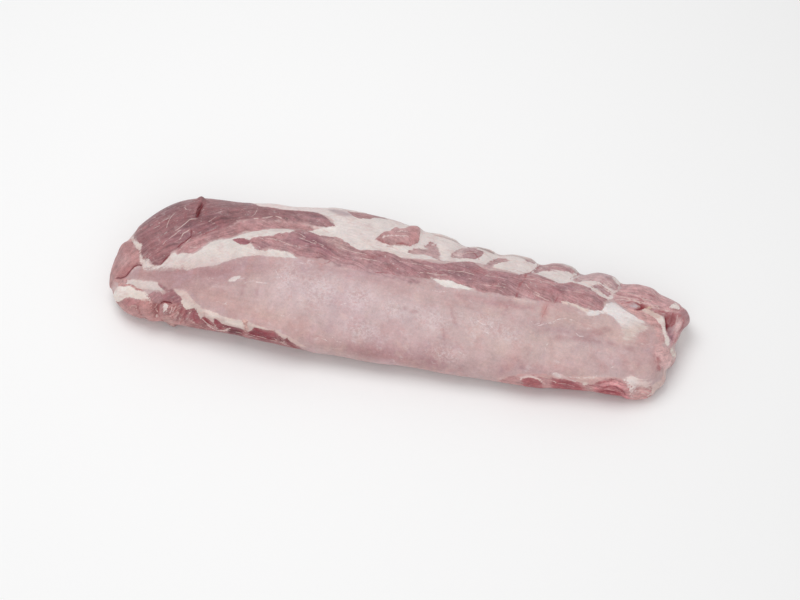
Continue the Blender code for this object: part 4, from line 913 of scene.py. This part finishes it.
class Shade:
    def __init__(self, name):
        self.material = bpy.data.materials.new(name)
        self.material.use_nodes = True
        self.tree = self.material.node_tree
        self.shader = self.tree.nodes["Principled BSDF"]

    def give(self, socket, value):
        if isinstance(value, Socket):
            self.tree.links.new(value.socket, socket)
        else:
            socket.default_value = value

    def add(self, kind, settings=None, values=None, output=0):
        node = self.tree.nodes.new(kind)
        for name, value in (settings or {}).items():
            setattr(node, name, value)
        for key, value in (values or {}).items():
            self.give(node.inputs[key], value)
        return Socket(self, node.outputs[output])

    def feed(self, values):
        for name, value in values.items():
            self.give(self.shader.inputs[name], value)

    def field(self, name, output="Fac"):
        return self.add("ShaderNodeAttribute", {"attribute_name": name}, output=output)

    def scaled(self, vector, scale):
        return self.add("ShaderNodeVectorMath", {"operation": "MULTIPLY"}, {0: vector, 1: scale})

    def turned(self, vector, degrees, scale):
        values = {"Vector": vector, "Rotation": (0, 0, math.radians(degrees))}
        return self.scaled(self.add("ShaderNodeMapping", {"vector_type": "TEXTURE"}, values), scale)

    def noise(self, vector, size, detail=2, roughness=0.5, distortion=0.0, output=0):
        values = {"Vector": vector, "Scale": 1 / size, "Detail": detail,
                  "Roughness": roughness, "Distortion": distortion}
        return self.add("ShaderNodeTexNoise", {"noise_dimensions": "3D"}, values, output)

    def mix(self, factor, first, second, blend="MIX"):
        settings = {"data_type": "RGBA", "blend_type": blend, "clamp_factor": True}
        return self.add("ShaderNodeMix", settings, {0: factor, 6: first, 7: second}, 2)

    def brighten(self, colour, amount):  # times a value that varies
        grey = self.add("ShaderNodeCombineColor", {}, {0: amount, 1: amount, 2: amount})
        return self.mix(1.0, colour, grey, "MULTIPLY")


surface = {
    "edgeHardness": 0.18, "edgeNoise": 1.3, "fineEdgeNoise": 0.8, "strandNoise": 1.2,
    "smoothEdge": 0.3,  # how ragged the edge is where there is no grain
    "leanRaggedness": 0.6,
    "film": 0.5,  # how much of the fat's colour shows beyond its edge
    # that red edge on the lean beside fat is partly its own red and partly painted shade
    "rim": 0.4,  # and how red the lean is there where it has no film
    "capFibres": 38, "strapFibres": -8, "capEnd": -160, "capFade": 14,
    "sway": 8, "swaySize": 22, "fibreStretch": 0.065, "laneStretch": 0.4, "wispStretch": 0.35,
    "lengthways": (46, 3.4), "ripples": (3.6, 24),  # length and width of the skin's streaks
    "grooves": 0.24, "paleFibres": 0.24, "marbled": 0.3, "evenShade": 0.4,
    "frost": 0.1, "webbedFrost": 0.5,
    "ridgeRoughness": 0.55, "ridgeDistortion": 0.4, "lineEnd": 3.0,
    # fold: dark crimson, partly the folds' red and partly painted shade in them; crimson: the red of
    # veins, and partly painted shade round folds and on the lean beside fat; crease: painted shade
    "thread": (222, 198, 192), "fold": (112, 36, 46), "crimson": (150, 66, 72),
    "gleam": (234, 220, 219), "crease": (170, 126, 129), "maroon": (122, 72, 82),
    "marbling": (206, 178, 178), "web": (222, 206, 207), "vein": (196, 146, 144),
    "roughness": 0.44, "fatRoughness": 0.06, "wetness": 0.2, "bump": 0.55, "fatHeight": 0.4,
    "threadHeight": 0.3,
    "shader": {
        "Coat Roughness": 0.3, "Coat IOR": 1.34, "Specular IOR Level": 0.2, "Subsurface Weight": 0.1,
        "Subsurface Radius": (1.0, 0.4, 0.3), "Subsurface Scale": 1.6 * mm,
    },
}
tints = {  # colour, where its pattern starts, where it is full, and how strong it gets
    "mauve": ((138, 106, 116), 0.52, 0.7, 0.3), "redder": ((166, 98, 100), 0.47, 0.3, 0.25),
    "rose": ((190, 142, 140), 0.5, 0.72, 0.34), "lilac": ((190, 160, 170), 0.53, 0.72, 0.34),
    "sand": ((214, 186, 176), 0.46, 0.3, 0.3), "cream": ((230, 214, 200), 0.5, 0.75, 0.25),
    "shadow": ((190, 170, 172), 0.62, 0.74, 0.12),
}
fibreNoises = {  # size, detail and roughness
    "bundles": (4.6, 2, 0.6), "coarse": (2.2, 2, 0.6), "fine": (1.0, 2, 0.6), "strands": (1.5, 3, 0.6),
}
evenNoises = {  # size, detail, roughness and distortion
    "blotch": (26, 2, 0.5), "tint": (17, 3, 0.55, 0.5), "mottle": (8, 3, 0.6), "pebble": (2.6, 2, 0.6),
    "speckle": (1.1, 2, 0.65), "edge": (4.5, 3, 0.65), "cool": (20, 3, 0.6, 0.4),
    "flecks": (2.0, 2), "frost": (3.2, 4, 0.75),
}
shades = {  # how much each pattern brightens and darkens a tissue, or lifts it, or changes its gloss
    "leanFibres": {"bundles": 0.7, "coarse": 0.7, "fine": 0.8},
    "lean": {"mottle": 1.0, "pebble": 0.5, "speckle": 0.5},
    "skin": {"mottle": 0.36, "pebble": 0.24, "speckle": 0.3, "lengthways": 0.14, "blotch": 0.3},
    "fat": {"mottle": 0.3, "pebble": 0.2, "speckle": 0.22, "coarse": 0.2, "fine": 0.2},
    "fibreHeight": {"bundles": 0.7, "coarse": 0.5, "fine": 0.3},
    "height": {"speckle": 0.2, "pebble": 0.4},
    "roughness": {"speckle": 0.25}, "wetness": {"mottle": 1.5},
}
ridgeLines = {  # size, thinness and detail
    "fibres": (6.5, 26, 2), "grooves": (9, 24, 3), "web": (5, 16, 4), "wisps": (7, 30, 3),
    "veins": (13, 34, 4), "blush": (8, 13, 4),
}
patchy = {  # size of the patches that a pattern shows in, and where they start and are full
    "film": (15, 0.44, 0.56), "grooves": (12, 0.42, 0.58), "paleFibres": (10, 0.42, 0.62),
    "marbling": (9, 0.5, 0.64), "ripples": (24, 0.46, 0.62), "flecks": (24, 0.5, 0.6),
    "wisps": (13, 0.56, 0.68), "veins": (22, 0.52, 0.66), "blush": (14, 0.45, 0.6),
}
ranges = {  # where a field starts to show and where it is full
    "film": (0.04, 0.6), "redRimAndShade": (0.08, 0.36), "paleFibres": (0.54, 0.8), "flecks": (0.72, 0.8),
    "frost": (0.47, 0.66), "foldRedAndShade": (4.5, 0.4), "crease": (2.1, 0.0),
}
strokes = {  # how soft a line's edge is, from and to, and how far it reaches, in half widths
    "thread": (-0.5, 0.7, 2.0), "fold": (-0.5, 0.7, 2.2), "vein": (-1.2, 0.9, 2.0),
    "gleam": (-0.7, 0.9, 2.0),
}
gaps = {  # size, detail, and where the breaks along a line start and end
    "thread": (6, 3, 0.36, 0.56), "vein": (6, 2, 0.34, 0.56), "foldRedAndShade": (6, 2, 0.3, 0.6),
    "crease": (9, 3, 0.3, 0.66), "gleam": (2.2, 3, 0.4, 0.62),
}
strengths = {
    "web": 0.6, "flecks": 0.5, "wisps": 0.5, "veins": 0.4, "blush": 0.3, "ripples": 0.14,
    "thread": 0.75, "vein": 0.55, "foldRedAndShade": 0.4, "crease": 0.5, "gleam": 0.7, "fold": 0.8,
}


def rgba(colour):
    return (*(float(c) for c in linear(colour)), 1.0)


def varied(base, patterns, amounts, share=1):  # base plus each pattern's swing about its middle
    for name, amount in amounts.items():
        base = base + (patterns[name] - 0.5) * (share * amount)
    return base


class MeatShade(Shade):
    def ridges(self, vector, name):  # thin wavy lines
        size, thinness, detail = ridgeLines[name]
        waves = self.noise(vector, size, detail, surface["ridgeRoughness"], surface["ridgeDistortion"])
        return (1 - abs(waves - 0.5) * thinness).atLeast(0)

    def patches(self, vector, name):
        size, low, high = patchy[name]
        return self.noise(vector, size).between(low, high)

    def broken(self, vector, name):
        size, detail, low, high = gaps[name]
        return self.noise(vector, size, detail).between(low, high)

    def streaks(self, vector, length, width):
        stretch = (width / length, 1, 1) if length > width else (1, length / width, 1)
        return self.noise(self.scaled(vector, stretch), min(length, width), 3, 0.6)

    def stroke(self, kind):
        low, high, reach = strokes[kind]
        across = (1 - abs(self.field(kind + "Side"))).between(low, high)
        return across * self.field(kind + "Near").between(surface["lineEnd"], reach)

    def tinted(self, colour, name, field, share=1):
        own, low, high, strength = tints[name]
        return self.mix(field.between(low, high) * strength * share, colour, rgba(own))

    def over(self, colour, name, factor):
        return self.mix(factor, colour, rgba(surface[name]))


def meatShade():
    s = MeatShade("moistMeat")
    inMillimetres = s.scaled(s.add("ShaderNodeTexCoord", output="Object"), (1 / mm, 1 / mm, 1 / mm))
    place = s.field("place", "Vector")
    grain = s.field("grain")

    # fibres: one direction in the cap, another in the strap and the rest
    swing = s.noise(place, surface["swaySize"], 1, output=1)
    swing = s.scaled(swing, (surface["sway"], surface["sway"], 0))
    swayed = s.add("ShaderNodeVectorMath", {"operation": "ADD"}, {0: place, 1: swing})
    along = s.add("ShaderNodeSeparateXYZ", {}, {0: place})
    capEnd, capFade = -surface["capEnd"], surface["capFade"]
    isCap = (along * -1).between(capEnd - capFade, capEnd + capFade)

    def alongFibres(pattern, *values):  # a pattern that follows the fibres of each muscle
        first, second = (pattern(s.turned(swayed, d, (surface["fibreStretch"], 1, 1)), *values)
                         for d in (surface["strapFibres"], surface["capFibres"]))
        return s.add("ShaderNodeMix", {"data_type": "FLOAT"}, {0: isCap, 2: first, 3: second})

    p = {name: alongFibres(s.noise, *values) for name, values in fibreNoises.items()}
    p.update({name: s.noise(inMillimetres, *values) for name, values in evenNoises.items()})
    fibreLines, grooveLines = (alongFibres(s.ridges, name) for name in ("fibres", "grooves"))

    # borders between the tissues, ragged at a millimetre or two and drawn out along the fibres
    ragged = (p["edge"] - 0.5) * surface["edgeNoise"]
    ragged = varied(ragged, p, {"speckle": surface["fineEdgeNoise"], "strands": surface["strandNoise"]})
    ragged = ragged * (surface["smoothEdge"] + grain)
    hard = surface["edgeHardness"]
    leanCover = s.field("overLean") + ragged * surface["leanRaggedness"]
    leanMask = leanCover.between(0.5 - 2 * hard, 0.5 + 2 * hard)
    fatCover = s.field("overFat") - ragged
    fatMask = fatCover.between(0.5 - hard, 0.5 + hard)
    filmed = s.patches(inMillimetres, "film")
    fatFilm = fatCover.between(*ranges["film"]) * surface["film"] * filmed
    # a red edge on the lean beside fat: partly its own red, partly painted shade below the raised fat
    redRimAndShade = fatCover.between(*ranges["redRimAndShade"]) * (1 - fatMask) * (1 - filmed) * leanMask
    redRimAndShade = redRimAndShade * surface["rim"]

    # lean
    lean = s.field("leanColour", "Color")
    lean = s.tinted(lean, "mauve", p["tint"], grain)
    lean = s.tinted(lean, "redder", p["tint"], grain)
    even = surface["evenShade"]
    shade = varied(1, p, shades["leanFibres"])
    shade = shade * (even + grain * (1 - even)) + (1 - even) - grain * (1 - even)
    lean = s.brighten(lean, varied(shade, p, shades["lean"]))
    lanes = s.scaled(swayed, (surface["laneStretch"], 1, 1))
    grooves = grooveLines * s.patches(lanes, "grooves") * grain * surface["grooves"]
    lean = s.over(lean, "maroon", grooves)
    paleFibres = p["strands"].between(*ranges["paleFibres"]) * s.patches(lanes, "paleFibres") * grain
    lean = s.over(lean, "marbling", paleFibres * surface["paleFibres"])
    marbling = fibreLines * s.patches(lanes, "marbling") * grain
    lean = s.over(lean, "marbling", marbling * surface["marbled"])

    # silverskin
    skin = s.field("skinColour", "Color")
    skin = s.tinted(skin, "rose", p["tint"])
    skin = s.tinted(skin, "lilac", p["cool"])
    skin = s.tinted(skin, "sand", p["cool"])
    p["lengthways"] = s.streaks(swayed, *surface["lengthways"])
    ripples = (s.streaks(swayed, *surface["ripples"]) - 0.5) * s.patches(inMillimetres, "ripples")
    skin = s.brighten(skin, varied(1, p, shades["skin"]) + ripples * strengths["ripples"])
    webbing = s.field("webbing")
    web = s.ridges(inMillimetres, "web") * webbing * strengths["web"]
    flecks = p["flecks"].between(*ranges["flecks"]) * s.patches(inMillimetres, "flecks")
    wisps = s.ridges(s.scaled(swayed, (surface["wispStretch"], 1, 1)), "wisps")
    wisps = wisps * s.patches(inMillimetres, "wisps") * strengths["wisps"]
    skin = s.over(skin, "web", web.atLeast(flecks * strengths["flecks"]).atLeast(wisps))
    frost = p["frost"].between(*ranges["frost"])
    skin = s.over(skin, "web", frost * (surface["frost"] + webbing * surface["webbedFrost"]))
    veins = s.ridges(inMillimetres, "veins") * s.patches(inMillimetres, "veins")
    skin = s.over(skin, "vein", veins * strengths["veins"])

    # fat
    fat = s.tinted(s.field("fatColour", "Color"), "cream", p["tint"])
    fat = s.brighten(fat, varied(1, p, shades["fat"]))
    blush = s.ridges(lanes, "blush") * s.patches(inMillimetres, "blush")
    fat = s.over(fat, "vein", blush * strengths["blush"])
    fat = s.tinted(fat, "shadow", p["coarse"])

    # threads, folds and creases; the dark crimson in and round folds is partly their red and partly
    # painted shade, and the creases' darker colour is painted shade
    line = {kind: s.stroke(kind) * strengths[kind] for kind in strokes}
    for kind in ("foldRedAndShade", "crease"):
        away = s.field("foldNear" if kind == "foldRedAndShade" else "creaseNear")
        line[kind] = away.between(*ranges[kind]) * strengths[kind]
    for kind in gaps:
        line[kind] = line[kind] * s.broken(inMillimetres, kind)

    colour = s.mix(leanMask, skin, lean)
    colour = s.over(colour, "crimson", redRimAndShade)
    colour = s.mix(fatFilm.atLeast(fatMask), colour, fat)
    colour = s.over(colour, "crease", line["crease"])
    # crimson round folds, partly their red and partly painted shade; the veins keep their own red
    colour = s.over(colour, "crimson", line["foldRedAndShade"].atLeast(line["vein"]))
    for kind in ("thread", "gleam", "fold"):
        colour = s.over(colour, kind, line[kind])

    height = varied(varied(0, p, shades["fibreHeight"], grain), p, shades["height"])
    height = height + fatMask * surface["fatHeight"] + line["thread"] * surface["threadHeight"]
    bumpValues = {"Strength": surface["bump"], "Distance": 1 * mm, "Height": height}
    roughness = varied(surface["roughness"], p, shades["roughness"])
    s.feed({
        "Base Color": colour,
        "Normal": s.add("ShaderNodeBump", {}, bumpValues),
        "Roughness": roughness + fatMask * surface["fatRoughness"],
        "Coat Weight": varied(0.5, p, shades["wetness"]) * surface["wetness"],
        **surface["shader"],
    })
    return s.material


# studio

studio = {
    "azimuth": 15, "elevation": 54, "distance": 1.827, "lens": 85,
    "aim": (0.0037, -0.006, 0.028), "seesTo": 20,
    "floorSize": 8.0, "floorDrop": 0.5, "worldStrength": 0.62,
    "floor": {"Base Color": (0.96, 0.96, 0.96, 1), "Roughness": 0.9, "Specular IOR Level": 0.1},
    "lights": [  # name, place, size, watts
        ("overhead", (-0.35, 0.1, 1.5), 1.0, 8.5),
        ("frontFill", (0.3, -1.5, 1.1), 1.4, 3.5),
    ],
}


def makeCamera():
    azimuth, elevation = math.radians(studio["azimuth"]), math.radians(studio["elevation"])
    back = Vector((math.sin(azimuth) * math.cos(elevation),
                   -math.cos(azimuth) * math.cos(elevation), math.sin(elevation)))
    camera = inScene(bpy.data.cameras.new("camera"), "camera")
    camera.data.lens = studio["lens"]
    camera.data.clip_end = studio["seesTo"]
    camera.location = Vector(studio["aim"]) + back * studio["distance"]
    camera.rotation_euler = (-back).to_track_quat("-Z", "Y").to_euler()
    bpy.context.scene.camera = camera


def makeStudio():
    bm = bmesh.new()
    bmesh.ops.create_grid(bm, x_segments=1, y_segments=1, size=studio["floorSize"] / 2)
    mesh = bpy.data.meshes.new("floor")
    bm.to_mesh(mesh)
    bm.free()
    floor = inScene(mesh, "floor")
    floor.location.z = -studio["floorDrop"] * mm  # just below the flat underside
    s = Shade("paleFloor")
    s.feed(studio["floor"])
    mesh.materials.append(s.material)
    world = bpy.data.worlds.new("studio")
    bpy.context.scene.world = world
    world.use_nodes = True
    background = world.node_tree.nodes["Background"]
    background.inputs["Color"].default_value = (1, 1, 1, 1)
    background.inputs["Strength"].default_value = studio["worldStrength"]
    for name, where, size, watts in studio["lights"]:
        light = bpy.data.lights.new(name, "AREA")
        light.shape = "DISK"
        light.size = size
        light.energy = watts
        lamp = inScene(light, name)
        lamp.location = where
        lamp.rotation_euler = Vector(where).to_track_quat("Z", "Y").to_euler()
    bpy.context.scene.view_settings.view_transform = "Standard"
    print("studio: floor, world and", len(studio["lights"]), "lights")


makeCamera()
makeStudio()
loin = makeMeat()
loin.data.materials.clear()
loin.data.materials.append(meatShade())
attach(loin, "root")
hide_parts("loin")
print("meat: painted and placed")
